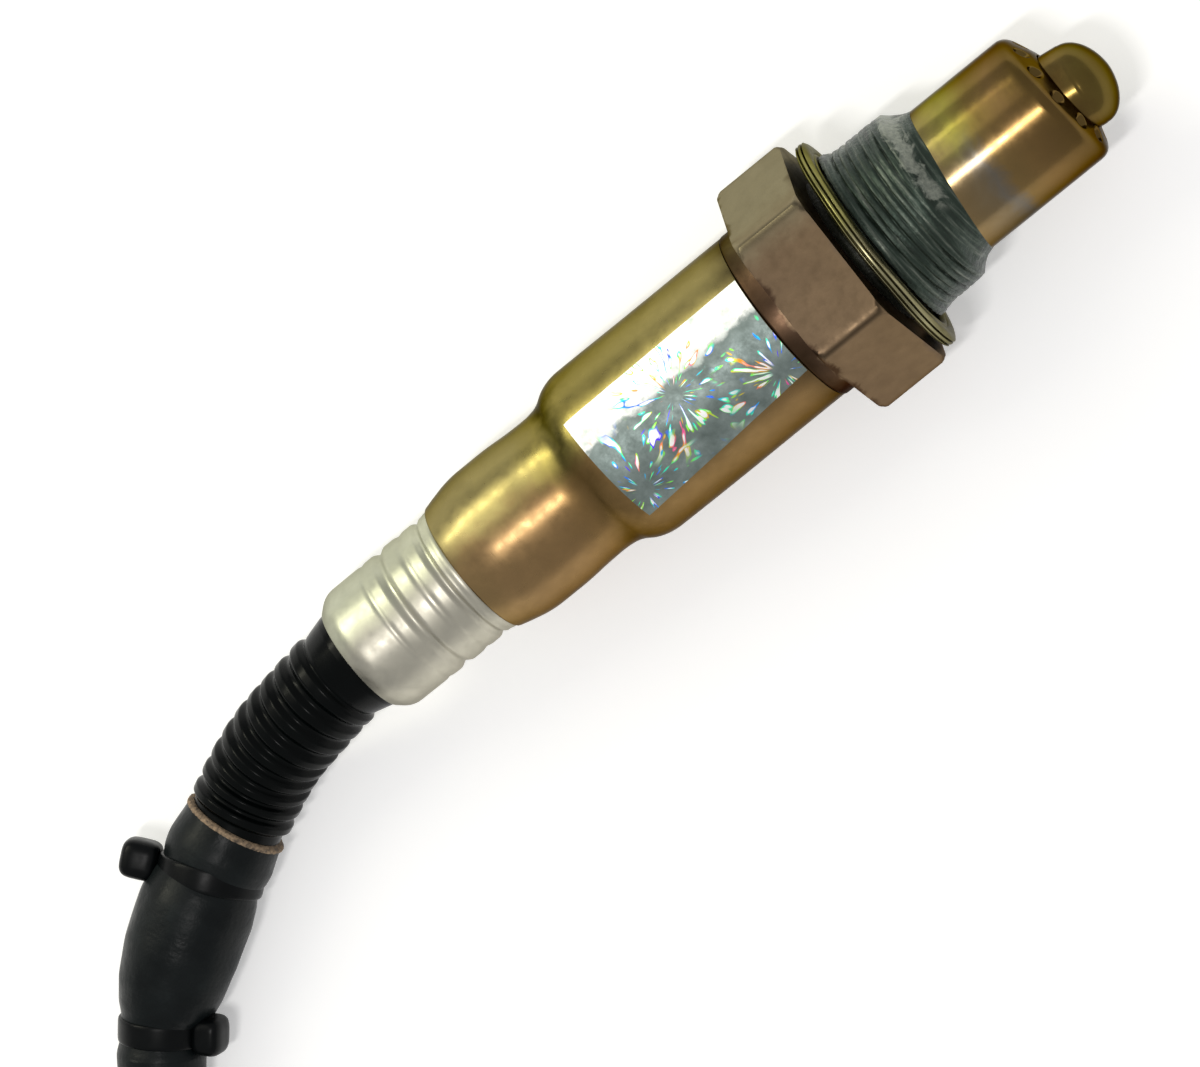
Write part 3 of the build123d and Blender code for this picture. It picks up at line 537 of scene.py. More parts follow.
@dataclass(frozen=True)
class TintedSteel:
    """Heat-tinted steel whose colour drifts along the axis, differs on its two sides and can be
    darkened on top as painted shade.
    """

    name: str
    near: tuple[Tint, ...]
    far: tuple[Tint, ...]
    roughness: float = 0.3
    edge: Triple = (0.34, 0.33, 0.32)
    grain: float = 0.004
    mottle: float = 0.2
    split: tuple[float, float] = (-0.5, 3.0)
    turning: float = 9000.0
    painted_top_shade: float = 1.0
    painted_top_shade_heights: tuple[float, float] = (10.4, 10.9)

    def side(self, recipe: Recipe, drift: Socket, stops: tuple[Tint, ...]) -> Socket:
        """Colour by place along X, from stops of (x in millimetres, display colour)."""
        low, high = stops[0][0], stops[-1][0]
        share = recipe.levels(drift, low * MM, high * MM, easing="LINEAR")
        return recipe.ramp(share, [((x - low) / (high - low), linear(*c)) for x, c in stops])

    def material(self) -> Material:
        """Two sides' colours blended across Y, mottled, with painted shade on top when asked, turning
        marks and small pits.

        Returns:
            The finished material.
        """
        recipe = Recipe(self.name)
        recipe.set(Metallic=1.0, Specular_Tint=(*self.edge, 1))
        x, y, z = recipe.parts(recipe.place())
        cloud = recipe.noise(recipe.place(), 260, 4, 0.6, 0.4)
        wander = recipe.sway(cloud, 0.004)
        drift = recipe.plus(x, wander)
        across = recipe.levels(recipe.plus(y, wander), self.split[0] * MM, self.split[1] * MM)
        near, far = (self.side(recipe, drift, stops) for stops in (self.near, self.far))
        base = recipe.blend(across, near, far)
        shades = [(0, (1 - self.mottle,) * 3), (1, (1, 1, 1))]
        dark = recipe.ramp(recipe.levels(cloud, 0.3, 0.7), shades)
        base = recipe.blend(1.0, base, dark, "MULTIPLY")
        # Painted shade: below one, the factor darkens the base colour over the top of the piece, above
        # the given heights.
        if self.painted_top_shade < 1:
            low, high = self.painted_top_shade_heights
            top = recipe.levels(z, low * MM, high * MM)
            base = recipe.blend(top, base, recipe.blend(1.0, base, (self.painted_top_shade,) * 3, "MULTIPLY"))
        recipe.feed("Base Color", base)
        marks = recipe.noise(recipe.stretched(recipe.place(), (self.turning, 260, 260)), 1.0, 2)
        patch = recipe.noise(recipe.place(), 900, 4)
        smooth, rough = self.roughness * 0.85, self.roughness * 1.2
        recipe.feed("Roughness", recipe.levels(patch, 0.25, 0.75, smooth, rough))
        pits = recipe.bump(patch, self.grain * 3, 0.5)
        recipe.feed("Normal", recipe.bump(marks, self.grain, 0.6, pits))
        return recipe.material


@dataclass(frozen=True)
class PlainFinish:
    """Plain moulded, ceramic or metal finish with fine unevenness."""

    name: str
    colour: Display
    roughness: float = 0.5
    metallic: float = 0.0
    relief_mm: float = 0.01
    gloss: float = 0.5
    scale: float = 700.0
    variation: float = 0.15

    def material(self) -> Material:
        """Base colour that varies a little, with matching bumps and gloss.

        Returns:
            The finished material.
        """
        recipe = Recipe(self.name)
        recipe.set(Metallic=self.metallic, Specular_IOR_Level=self.gloss)
        cloud = recipe.noise(recipe.place(), self.scale, 4)
        base = np.array(linear(*self.colour))
        low, high = base * (1 - self.variation), np.minimum(base * (1 + self.variation), 1)
        recipe.feed("Base Color", recipe.ramp(cloud, [(0.3, tuple(low)), (0.7, tuple(high))]))
        smooth, rough = self.roughness * 0.85, self.roughness * 1.15
        recipe.feed("Roughness", recipe.levels(cloud, 0.3, 0.7, smooth, rough))
        recipe.feed("Normal", recipe.bump(cloud, self.relief_mm, 0.7))
        return recipe.material


@dataclass(frozen=True)
class GreasedThread:
    """Thread under dried grey assembly paste, thicker in a band before its front end."""

    name: str = "greased_thread"
    band: tuple[float, float] = (9.6, 0.8)

    def material(self) -> Material:
        """Dark slate paste with lighter smears, a pale band at one length, and painted shade that
        darkens the neck in front of the hexagon nearly to black.

        Returns:
            The finished material.
        """
        recipe = Recipe(self.name)
        x, y, _ = recipe.parts(recipe.place())
        cloud = recipe.noise(recipe.place(), 420, 6, 0.7, 0.6)
        fine = recipe.noise(recipe.place(), 2200, 4, 0.7)
        lines = recipe.noise(recipe.stretched(recipe.place(), (2600, 160, 160)), 1.0, 3, 0.6)
        base = recipe.ramp(lines, [(0.32, linear(20, 30, 22)), (0.48, linear(46, 58, 50)),
                                   (0.60, linear(78, 86, 78)), (0.75, linear(120, 124, 114))])
        middle, half = self.band
        away = recipe.maths("ABSOLUTE", recipe.less(x, middle * MM), 0.0)
        ragged = recipe.plus(away, recipe.sway(cloud, 0.0045))
        in_band = recipe.levels(ragged, 0.45 * half * MM, 1.2 * half * MM, 1.0, 0.0)
        upper = recipe.levels(y, -3.0 * MM, -1.0 * MM)
        pale = recipe.ramp(fine, [(0.3, linear(98, 104, 96)), (0.7, linear(150, 154, 142))])
        colour = recipe.blend(recipe.times(in_band, upper), base, pale)
        # Painted shade: the neck between the hexagon and the ring is painted nearly black.
        colour = recipe.blend(recipe.levels(x, 1.6 * MM, 2.4 * MM), linear(24, 26, 18), colour)
        recipe.feed("Base Color", colour)
        recipe.feed("Metallic", recipe.levels(lines, 0.3, 0.6, 0.5, 0.9))
        recipe.feed("Roughness", recipe.levels(fine, 0.3, 0.7, 0.28, 0.5))
        recipe.feed("Normal", recipe.bump(recipe.plus(cloud, fine), 0.09, 0.8))
        return recipe.material


@dataclass(frozen=True)
class Foil:
    """Embossed iridescent foil with bursts of coloured dashes, a painted highlight along one edge and
    painted glints.
    """

    name: str = "iridescent_foil"
    bursts: tuple[tuple[float, float], ...] = ((9.2, 0.40), (17.6, 0.84), (1.6, 0.80))
    width: float = 11.0
    hues: tuple[Tint, ...] = (
        (0.30, (90, 50, 255)), (0.41, (50, 130, 255)), (0.48, (60, 255, 210)),
        (0.54, (140, 255, 80)), (0.62, (255, 170, 50)), (0.72, (255, 80, 180)))

    def material(self) -> Material:
        """Silver foil whose dashes radiate from a few centres and change hue with their angle, with a
        near-white painted highlight along the start of its width and white painted glints at the
        dashes' cores.

        Returns:
            The finished material.
        """
        recipe = Recipe(self.name)
        recipe.set(Metallic=0.85, Roughness=0.28)
        u, v, _ = recipe.parts(recipe.surface_place())
        cloud = recipe.noise(recipe.place(), 500, 5, 0.6)
        grey = recipe.ramp(cloud, [(0.3, linear(104, 116, 112)), (0.6, linear(134, 146, 143)),
                                   (0.8, linear(160, 170, 168))])
        # Painted highlight: the strip at the start of the width, on the +Y side, is painted near white.
        pale = recipe.ramp(cloud, [(0.3, linear(196, 206, 200)), (0.5, linear(246, 248, 246))])
        edge = recipe.plus(v, recipe.sway(cloud, 0.3))
        base = recipe.blend(recipe.levels(edge, 0.26, 0.34), pale, grey)
        colour = base
        for index, (cu, cv) in enumerate(self.bursts):
            du = recipe.less(u, cu)
            dv = recipe.times(recipe.less(v, cv), self.width)
            angle = recipe.maths("ARCTAN2", dv, du)
            square = recipe.plus(recipe.times(du, du), recipe.times(dv, dv))
            reach = recipe.maths("POWER", square, 0.5)
            join = recipe.nodes.new("ShaderNodeCombineXYZ")
            recipe.links.new(recipe.times(angle, 4.6), join.inputs[0])
            recipe.links.new(recipe.times(reach, 0.34), join.inputs[1])
            join.inputs[2].default_value = 3.7 * index
            streak = recipe.noise(join.outputs[0], 1.5, 1, 0.4)
            hue_noise = recipe.noise(join.outputs[0], 0.55, 1)
            hue = recipe.ramp(hue_noise, [(place, linear(*tint)) for place, tint in self.hues])
            fading = recipe.levels(reach, 4.6, 6.6, 1.0, 0.0)
            ring = recipe.times(fading, recipe.levels(reach, 0.7, 1.3))
            dash = recipe.times(recipe.levels(streak, 0.575, 0.615), ring)
            colour = recipe.blend(dash, colour, hue)
            # Painted glints: the cores of the dashes are painted white.
            painted_glint = recipe.times(recipe.levels(streak, 0.625, 0.665), ring)
            colour = recipe.blend(painted_glint, colour, (1.0, 1.0, 1.0))
        recipe.feed("Base Color", colour)
        crinkle = recipe.noise(recipe.place(), 900, 5, 0.7)
        recipe.feed("Roughness", recipe.levels(crinkle, 0.3, 0.7, 0.42, 0.6))
        recipe.feed("Normal", recipe.bump(crinkle, 0.03, 0.6))
        return recipe.material


@dataclass(frozen=True)
class CoatedSleeve:
    """Black coated fibre sleeve with a faint weave and a waxy sheen."""

    name: str = "coated_sleeve"
    dark: Display = (8, 12, 13)
    colour: Display = (13, 18, 19)
    pale: Display = (21, 27, 28)
    roughness: float = 0.38
    along: float = 7.0
    around: float = 150.8

    def material(self) -> Material:
        """Dark coating over crossing threads that follow the sleeve.

        Returns:
            The finished material.
        """
        recipe = Recipe(self.name)
        recipe.set(Specular_IOR_Level=0.13)
        u, v, _ = recipe.parts(recipe.surface_place())
        cloud = recipe.noise(recipe.place(), 240, 5, 0.6)
        shades = ((0.3, self.dark), (0.6, self.colour), (0.75, self.pale))
        recipe.feed("Base Color", recipe.ramp(cloud, [(x, linear(*tint)) for x, tint in shades]))
        left, right = (
            recipe.maths("SINE", recipe.plus(recipe.times(u, self.along), recipe.times(v, around)))
            for around in (self.around, -self.around))
        weave = recipe.times(left, right)
        smooth, rough = self.roughness * 0.8, self.roughness * 1.3
        recipe.feed("Roughness", recipe.levels(cloud, 0.3, 0.7, smooth, rough))
        lumps = recipe.bump(cloud, 0.35, 0.5)
        recipe.feed("Normal", recipe.bump(weave, 0.02, 0.1, lumps))
        return recipe.material


# ---------------------------------------------------------------- sub-assemblies
@dataclass
class Tip:
    """Outer protection tube with its leaning cap and gas holes, and the domed nose."""

    radius: float = 7.2
    mouth: float = 4.2
    cap: Lean = Lean(4.4, 0.0, 19.5, 23.0)
    nose: Lean = Lean(-5.0, -7.0, 19.6, 20.6)
    nose_radius: float = 4.18
    nose_root: float = 22.0
    crease_x: float = 25.5
    crease_depth: float = 0.05
    dome: float = 2.85
    holes: int = 11
    hole_circle: float = 5.55
    hole_radius: float = 0.62
    hole_depth: float = 0.8
    fine: float = 0.09
    coarse: float = 0.5

    def tube(self) -> Surface:
        """Tube, rounded edge and cone as one closed profile turned about X.

        The skin of the cone is pushed back along X by the hole's depth times a steep bell of the
        distance to the nearest hole's middle, which leaves a ring of round pits.

        Returns:
            Closed surface from inside the thread's end to the cone's mouth.
        """
        r = self.radius
        outline = eased([
            (8.9, r, 0), (22.95, r, 0.95), (24.0, 4.5, 0.15), (24.15, 3.9, 0.1), (23.65, 3.8, 0.1),
            (22.2, 6.3, 0.4), (21.2, 6.5, 0.3), (8.9, 6.5, 0)], 8)
        x, out = outline[:-1].T
        cone = (x > 21.8) & (x < 24.05) & (out > self.mouth)
        spacing = np.where(cone, self.fine, self.coarse)
        points, angle = turned_points(resampled(outline, spacing), 396)
        sector = 2 * np.pi / self.holes
        off = (angle + 0.5 * sector) % sector - 0.5 * sector
        radius = np.hypot(points[..., 1], points[..., 2])
        spot = self.hole_circle
        distance = np.hypot(radius - spot, spot * off) / self.hole_radius
        front = (points[..., 0] > 22.3) & (radius > self.mouth)
        points[..., 0] -= self.hole_depth * np.exp(-distance**6) * front
        return grid_surface(self.cap.apply(points), Wrap.BOTH)

    def nose_shell(self) -> Surface:
        """Nose as a tube with a slight crease and a dome.

        The dome's radius is the nose's times the root of one less the square of the share of the
        dome's depth.

        Returns:
            Closed surface with its far end inside the tube.
        """
        radius, crease = self.nose_radius, self.nose_radius - self.crease_depth
        share = np.sin(np.linspace(0, 1, 36) * np.pi / 2)
        dome = np.stack([self.crease_x + self.dome * share,
                         crease * np.sqrt(1 - share**2) ** 1.05], axis=-1)
        body = eased([(20.6, radius, 0), (25.3, radius, 0.3), (self.crease_x, crease, 0.0)])
        profile = resampled(np.vstack([body[:-1], dome[:-1]]), 0.25)
        points, angle = turned_points(profile, 180)
        dent = 0.05 * ripple(points[..., 0], angle, 17, 6, 4) * (points[..., 0] > self.nose_root)
        return capped(self.nose.apply(shaped(points, dent)))

    def build(self) -> None:
        """Make the tube and the nose in place of their solids."""
        steel = TintedSteel(
            "tube_steel",
            near=((10.5, (140, 118, 82)), (13.5, (128, 112, 86)), (14.8, (118, 110, 98)),
                  (16.2, (132, 108, 68)), (19.5, (124, 98, 60)), (23.0, (104, 82, 46)),
                  (28.4, (104, 90, 44))),
            far=((10.5, (128, 112, 84)), (12.2, (148, 136, 78)), (14.5, (150, 142, 70)),
                 (17.0, (126, 106, 58)), (19.8, (122, 98, 60)), (22.0, (104, 84, 44)),
                 (25.3, (116, 98, 56)), (28.4, (98, 90, 40))),
            roughness=0.21, mottle=0.16)
        tube = mesh_object("domed_tube", self.tube(), 50)
        dress(tube, steel.material())
        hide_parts("outer_protection_tube")
        nose = mesh_object("gas_nose", self.nose_shell(), 25)
        dress(nose, steel.material())
        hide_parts("inner_protection_tube")


@dataclass
class Shell:
    """Threaded steel body: thread, neck, hexagon and collar."""

    crest: float = 8.72
    neck: float = 8.0
    pitch: float = 1.5
    paste: float = 0.95
    ring_face: float = 2.05
    ring_reach: float = 9.5
    ring_slopes: tuple[float, float] = (0.014, 0.059)
    flats: float = 22.0
    corner_worn: float = 0.13
    collar: float = 9.6

    def thread(self) -> Surface:
        """Neck, paste cone, thread and the skirt of paste over the tube's weld.

        The radius starts at the neck's and steps up in front of the ring's tilted face, where a
        cone of paste falls off by the distance from that face; the thread cuts a deep and a
        shallow line into it once a pitch, and past an end that differs round the axis it runs
        down to the tube.

        Returns:
            Closed surface from inside the hexagon to the tube.
        """
        profile = resampled(eased([
            (-0.5, 7.0, 0), (-0.5, self.neck, 0), (11.6, self.neck, 0), (11.6, 6.7, 0)]), 0.07)
        points, angle = turned_points(profile, 360)
        x = points[..., 0]
        cosine, sine = np.cos(angle), np.sin(angle)
        slope_y, slope_z = self.ring_slopes
        past = x - (self.ring_face + self.ring_reach * (slope_y * cosine + slope_z * sine))
        step = np.clip((past + 0.25) / 0.35, 0, 1)
        paste = self.paste * np.exp(-np.maximum(past - 0.1, 0) / 0.6)
        phase = (x / self.pitch - angle / (2 * np.pi)) % 1.0
        deep = 0.26 * np.exp(-((phase - 0.3) / 0.09) ** 2)
        shallow = 0.13 * np.exp(-((phase - 0.78) / 0.07) ** 2)
        worn = np.clip(0.75 + 0.5 * ripple(x * 0.8, angle, 31, 9, 7), 0.15, 1.2)
        threaded = np.clip((past - 0.6) / 0.6, 0, 1)
        grain = 0.035 * ripple(x * 3, angle, 5, 12, 24)
        body = self.crest + paste + grain - (deep + shallow) * worn * threaded
        beyond = x - (8.2 + 0.9 * cosine + 0.75 * np.maximum(sine, 0))
        skirt = np.interp(beyond, [-9, 0, 0.7, 1.5, 2.3, 2.7, 9],
                          [9.4, 8.62, 8.0, 7.5, 7.24, 6.95, 6.9])
        rough = 0.09 * ripple(x * 2.2, angle, 11, 12, 19) * np.clip((beyond + 0.6) / 0.6, 0, 1)
        outer = step * (np.minimum(body, skirt) - self.neck) + rough * (beyond < 2.2)
        skin = (np.hypot(points[..., 1], points[..., 2]) > self.neck - 0.01) | (x > 11.5)
        return grid_surface(shaped(points, np.where(skin, outer, 0)), Wrap.BOTH)

    def hexagon(self) -> Surface:
        """Hexagon and collar.

        The hexagon's radius at an angle is the flat's distance over the cosine of the angle from
        the flat's middle, rounded at the corners, and it is held under a 45 degree cone at both
        ends; the collar behind it is turned.

        Returns:
            Closed surface round the axis.
        """
        half = self.flats / 2
        sharp, soft = 0.10, 0.035
        stations = resampled(eased([
            (0, 8.0, 0), (0, 11.2, 0), (0, 12.15, 0.1), (-0.75, 12.9, 0), (-0.85, 14.0, 0),
            (-6.65, 14.0, 0), (-6.75, 12.9, 0), (-7.5, 12.15, 0.1), (-7.5, 11.2, 0),
            (-7.5, 9.2, 0.15), (-9.5, 9.2, 0.25), (-9.5, 8.0, 0)]), 0.35)
        points, angle = turned_points(stations, 720)
        sector = ((angle - np.pi / 2 + np.pi / 6) % (np.pi / 3)) - np.pi / 6
        flat = half / np.cos(sector)
        corner = half / math.cos(math.pi / 6) - self.corner_worn
        limit = -sharp * np.log(np.exp(-flat / sharp) + np.exp(-corner / sharp))
        radius = np.hypot(points[..., 1], points[..., 2])
        rounding = soft * np.log1p(np.exp(-np.abs(radius - limit) / soft))
        held = np.minimum(radius, limit) - rounding
        points = shaped(points, np.where(radius > self.collar, held - radius, 0))
        return grid_surface(points, Wrap.BOTH)

    def build(self) -> None:
        """Make the thread and the hexagon and put them in place of the body's solid."""
        steel = TintedSteel(
            "hex_steel",
            near=((-9.5, (66, 50, 36)), (-7.7, (80, 62, 48)), (-7.2, (122, 102, 80)),
                  (-0.3, (124, 104, 80)), (0.5, (110, 94, 78))),
            # The far stops are lighter than the near ones: painted light on the +Y flats from the side
            # lamp, over an olive heat tint.
            far=((-9.5, (80, 70, 44)), (-7.7, (100, 90, 60)), (-7.2, (146, 138, 112)),
                 (-0.3, (148, 140, 114)), (0.5, (112, 104, 84))),
            # Painted shade: the factor 0.52 darkens the hexagon's top flat to about half.
            roughness=0.38, mottle=0.12, split=(3.0, 9.0), painted_top_shade=0.52)
        thread = mesh_object("greased_thread", self.thread(), 50)
        dress(thread, GreasedThread().material())
        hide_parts("hex_body")
        hexagon = mesh_object("hexagon_and_collar", self.hexagon(), 30)
        dress(hexagon, steel.material())


@dataclass
class SealRing:
    """Folded sheet ring, loose and tilted on the neck."""

    rim: float = 11.5
    bore: float = 9.2
    thickness: float = 1.3
    centre: Triple = (1.42, -0.3, 0.468)
    swing: float = -0.8
    pitch: float = 3.4

    def build(self) -> None:
        """Make the ring: a closed folded profile turned about X, slightly waved, then tilted."""
        half, rim, bore = self.thickness / 2, self.rim, self.bore
        profile = resampled(eased([
            (-half, 10.2, 0), (-half, rim - 0.45, 0.3), (-0.36, rim, 0.12),
            (-0.24, rim - 0.35, 0.04), (-0.12, rim - 0.02, 0.08), (0.12, rim - 0.02, 0.08),
            (0.22, rim - 0.4, 0.04), (0.34, rim, 0.1), (half, rim - 0.45, 0.3), (half, bore + 0.9, 0.1),
            (half - 0.12, bore + 0.75, 0.05), (half, bore + 0.6, 0.1), (half, bore + 0.3, 0.25),
            (0.2, bore, 0.15), (0.05, bore + 0.4, 0.04), (-0.05, bore + 0.4, 0.04),
            (-0.2, bore, 0.15), (-half, bore + 0.3, 0.25), (-half, 10.2, 0)]), 0.2)[:-1]
        points, angle = turned_points(profile, 300)
        points[..., 0] += 0.04 * np.sin(3 * angle + 0.7) + 0.02 * np.sin(7 * angle)
        pitched = Matrix.Rotation(math.radians(self.pitch), 3, "Y")
        swung = Matrix.Rotation(math.radians(self.swing), 3, "Z")
        placed = points @ np.array(pitched @ swung).T + np.array(self.centre)
        ring = mesh_object("folded_seal_ring", grid_surface(placed, Wrap.BOTH), 60)
        steel = TintedSteel(
            "ring_steel",
            near=((-2.0, (150, 146, 112)), (4.0, (156, 150, 116))),
            far=((-2.0, (138, 136, 84)), (4.0, (146, 142, 90))),
            roughness=0.3, mottle=0.3)
        dress(ring, steel.material())
        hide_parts("sealing_ring")


@dataclass
class Sheath:
    """Stepped heat-tinted sheath with its foil band, and the crimp sleeve behind it."""

    outer: tuple[Triple, ...] = (
        (-9.5, 9.12, 0.15), (-29.9, 9.12, 1.5), (-31.4, 8.7, 1.2), (-32.6, 7.85, 1.2),
        (-34.0, 7.57, 1.0), (-36.4, 7.57, 1.2), (-38.9, 7.75, 1.2), (-43.6, 7.75, 1.2),
        (-46.0, 7.2, 0.8))
    label_ends: tuple[float, float] = (-30.0, -9.6)
    label_low: tuple[float, float] = (63.0, 60.5)
    label_high: tuple[float, float] = (140.5, 130.0)
    label_skew: float = 0.7
    label_width: float = 19.3
    crimp_radius: float = 6.6

    def shell(self) -> Surface:
        """The sheath as one closed profile turned about X, very slightly out of round."""
        profile = resampled(eased([
            (-9.5, 8.7, 0), *self.outer, (-46.9, 6.95, 0.25), (-47.0, 6.65, 0), (-46.0, 6.68, 0.2),
            (-43.4, 7.2, 1.0), (-38.3, 7.2, 0.5), (-34.0, 7.0, 1.0), (-32.4, 7.3, 1.0),
            (-30.8, 8.2, 1.2), (-29.4, 8.6, 1.0), (-9.5, 8.6, 0)], 8), 0.4)
        points, angle = turned_points(profile, 250)
        change = 0.025 * ripple(points[..., 0] * 0.5, angle, 3, 6, 4)
        return grid_surface(shaped(points, change), Wrap.BOTH)

    def label(self) -> Surface:
        """Thin curved sheet between two lengths and two angles, turned a little on the sheath.

        A point is (x, r cos a, r sin a), with a from the angle up from +Y, and both ends shifted
        so that the sheet sits about five degrees askew.

        Returns:
            Closed thin sheet with its width and length as coordinates.
        """
        def between(ends: tuple[float, float], share: np.ndarray) -> np.ndarray:
            """Value at a share of the way between two ends."""
            return ends[0] + (ends[1] - ends[0]) * share

        def rim(grid: np.ndarray) -> np.ndarray:
            """Points of a grid once round its edge."""
            return np.concatenate(
                [grid[0, :], grid[1:, -1], grid[-1, -2::-1], grid[-2:0:-1, 0]])

        u, v = np.meshgrid(np.linspace(0, 1, 60), np.linspace(0, 1, 60), indexing="ij")
        start, end = between(self.label_low, u), between(self.label_high, u)
        a = np.radians(start + (end - start) * v)
        x = between(self.label_ends, u) + self.label_skew * (v - 0.5) * (1 - u)
        outline = eased(self.outer)
        surface = np.interp(-x, -outline[:, 0], outline[:, 1])
        top, under = (np.stack([x, r * np.cos(a), r * np.sin(a)], axis=-1)
                      for r in (surface + 0.09, surface - 0.05))
        along = np.stack([u * self.label_width, v], axis=-1)
        upper = grid_surface(top, Wrap.OPEN, along)
        lower = grid_surface(under[::-1], Wrap.OPEN, along[::-1])
        edge = grid_surface(np.stack([rim(under), rim(top)]), Wrap.AROUND,
                            np.stack([rim(along), rim(along)]))
        return joined(upper, lower, edge)

    def crimp(self) -> Surface:
        """The crimp sleeve: a closed profile with rolled grooves turned about X."""
        r, slanted_groove = self.crimp_radius, -50.6
        profile = resampled(eased([
            (-45.5, r - 0.5, 0), (-45.5, r, 0.05), (-46.9, r, 0.1), (-47.3, r + 0.13, 0.25),
            (-47.75, r, 0.15), (-48.0, r, 0.1), (-48.5, r - 0.38, 0.3), (-49.0, r + 0.02, 0.2),
            (-50.1, r + 0.02, 0.2), (-50.6, r - 0.14, 0.3), (-51.1, r + 0.03, 0.2),
            (-52.3, r + 0.04, 0.2), (-53.0, r - 0.42, 0.35), (-53.7, r + 0.02, 0.2),
            (-54.7, r, 0.2), (-55.1, r - 0.12, 0.2), (-55.5, r, 0.2), (-59.4, r, 0.9),
            (-60.7, r - 1.1, 0.35), (-60.5, r - 1.35, 0.1), (-60.0, r - 1.2, 0.2),
            (-59.2, r - 0.6, 0.5), (-45.5, r - 0.5, 0)], 7), 0.22)
        points, angle = turned_points(profile, 200)
        near_groove = np.abs(points[..., 0] - slanted_groove) < 0.8
        points[..., 0] += 0.12 * np.sin(angle) * near_groove
        change = 0.03 * ripple(points[..., 0] * 0.7, angle, 8, 8, 6)
        return grid_surface(shaped(points, change), Wrap.BOTH)

    def build(self) -> None:
        """Make the sheath, the foil and the crimp sleeve in place of their solids."""
        tint = TintedSteel(
            "tinted_steel",
            # The stops at -32.0, on both sides, are painted shade on the rear-facing shoulder of the
            # step.
            near=((-47.0, (152, 126, 86)), (-43.5, (150, 122, 84)), (-37.0, (148, 119, 80)),
                  (-33.8, (138, 110, 70)), (-32.0, (108, 86, 50)), (-29.5, (132, 106, 68)),
                  (-18.0, (138, 112, 74)), (-12.0, (132, 106, 70)), (-9.5, (104, 84, 56))),
            far=((-47.0, (146, 134, 90)), (-37.0, (150, 138, 88)), (-33.8, (140, 128, 72)),
                 (-32.0, (82, 76, 38)), (-29.5, (138, 126, 70)), (-18.0, (150, 138, 86)),
                 (-12.0, (144, 132, 84)), (-9.5, (96, 86, 56))),
            roughness=0.31, mottle=0.14)
        shell = mesh_object("stepped_sheath", self.shell(), 40)
        dress(shell, tint.material())
        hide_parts("rear_sheath")
        foil = mesh_object("foil_band", self.label(), 30)
        dress(foil, Foil().material())
        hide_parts("foil_label")
        crimp = mesh_object("grooved_crimp_sleeve", self.crimp(), 50)
        bright = TintedSteel(
            "crimp_steel",
            near=((-61.0, (172, 169, 156)), (-58.0, (190, 186, 172)), (-46.0, (194, 190, 175))),
            far=((-61.0, (160, 161, 145)), (-58.0, (186, 188, 168)), (-46.0, (192, 193, 170))),
            roughness=0.40, edge=(0.55, 0.54, 0.5), mottle=0.12)
        dress(crimp, bright.material())
        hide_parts("crimp_sleeve")


def smooth_line(name: str, route: list[Triple], resolution: int) -> np.ndarray:
    """Points on the smooth spline that a route's points control.

    Args:
        name: name for the curve while it is read.
        route: control points in millimetres.
        resolution: points for each control point.

    Returns:
        Points along the spline in millimetres.
    """
    curve = bpy.data.curves.new(name, "CURVE")
    curve.dimensions = "3D"
    spline = curve.splines.new("NURBS")
    spline.points.add(len(route) - 1)
    flat = np.hstack([np.array(route) * MM, np.ones((len(route), 1))])
    spline.points.foreach_set("co", flat.ravel())
    spline.order_u = 3
    spline.use_endpoint_u = True
    spline.resolution_u = resolution
    holder = bpy.data.objects.new(name, curve)
    bpy.context.scene.collection.objects.link(holder)
    bpy.context.view_layer.update()
    mesh = bpy.data.meshes.new_from_object(holder)
    points = np.empty(len(mesh.vertices) * 3)
    mesh.vertices.foreach_get("co", points)
    bpy.data.objects.remove(holder)
    bpy.data.meshes.remove(mesh)
    bpy.data.curves.remove(curve)
    return points.reshape(-1, 3) / MM


@dataclass
class Outlet:
    """Cone and corrugated hose behind the crimp sleeve."""

    route: tuple[Triple, ...] = (
        (-57.4, 0, 0), (-62.7, 0.08, 0), (-68.0, -0.55, -0.95), (-73.2, -1.2, -2.8),
        (-77.8, -2.75, -4.48), (-80.9, -4.2, -4.8))
    pitch: float = 2.0
    ribs: int = 9
    first: float = 6.9
    valley: float = 4.5
    rib_height: float = 0.5
    cone_end: float = 6.2

    def build(self) -> None:
        """Carry a ribbed profile along the hose's line.

        The radius is the valley's, plus a rounded ridge once every pitch; before the first rib
        it swells into the cone and the cuff.
        """
        line = smooth_line("hose_line", list(self.route), 60)
        _, _, _, run = path_frames(line)
        even = np.linspace(0, run[-1], 320)
        phase = (even - self.first) / self.pitch
        ridge = np.clip(1.5 * (1 - 2.2 * np.abs((phase + 0.5) % 1.0 - 0.5)), 0, 1)
        ridge = ridge * ridge * (3 - 2 * ridge)
        ribbed = (phase > -0.5) & (phase < self.ribs - 0.5)
        radius = self.valley + self.rib_height * ridge * ribbed
        cone = np.interp(even, [0, 3.2, 3.7, 5.6, self.cone_end], [5.3, 5.3, 5.25, 4.75, 4.5])
        radius = np.maximum(radius, np.where(even < self.cone_end, cone, 0))
        angle = np.linspace(0, 2 * np.pi, 120, endpoint=False)
        grid = radius[:, None] + 0.03 * ripple(even[:, None], angle, 2, 8, 5)
        surface = tube_along(path_at(line, run, even), grid)
        hose = mesh_object("corrugated_outlet", surface, 60)
        finish = PlainFinish(
            "hose_plastic", (2, 4, 4), roughness=0.26, relief_mm=0.02, gloss=0.08, scale=500)
        dress(hose, finish.material())
        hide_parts("corrugated_hose")


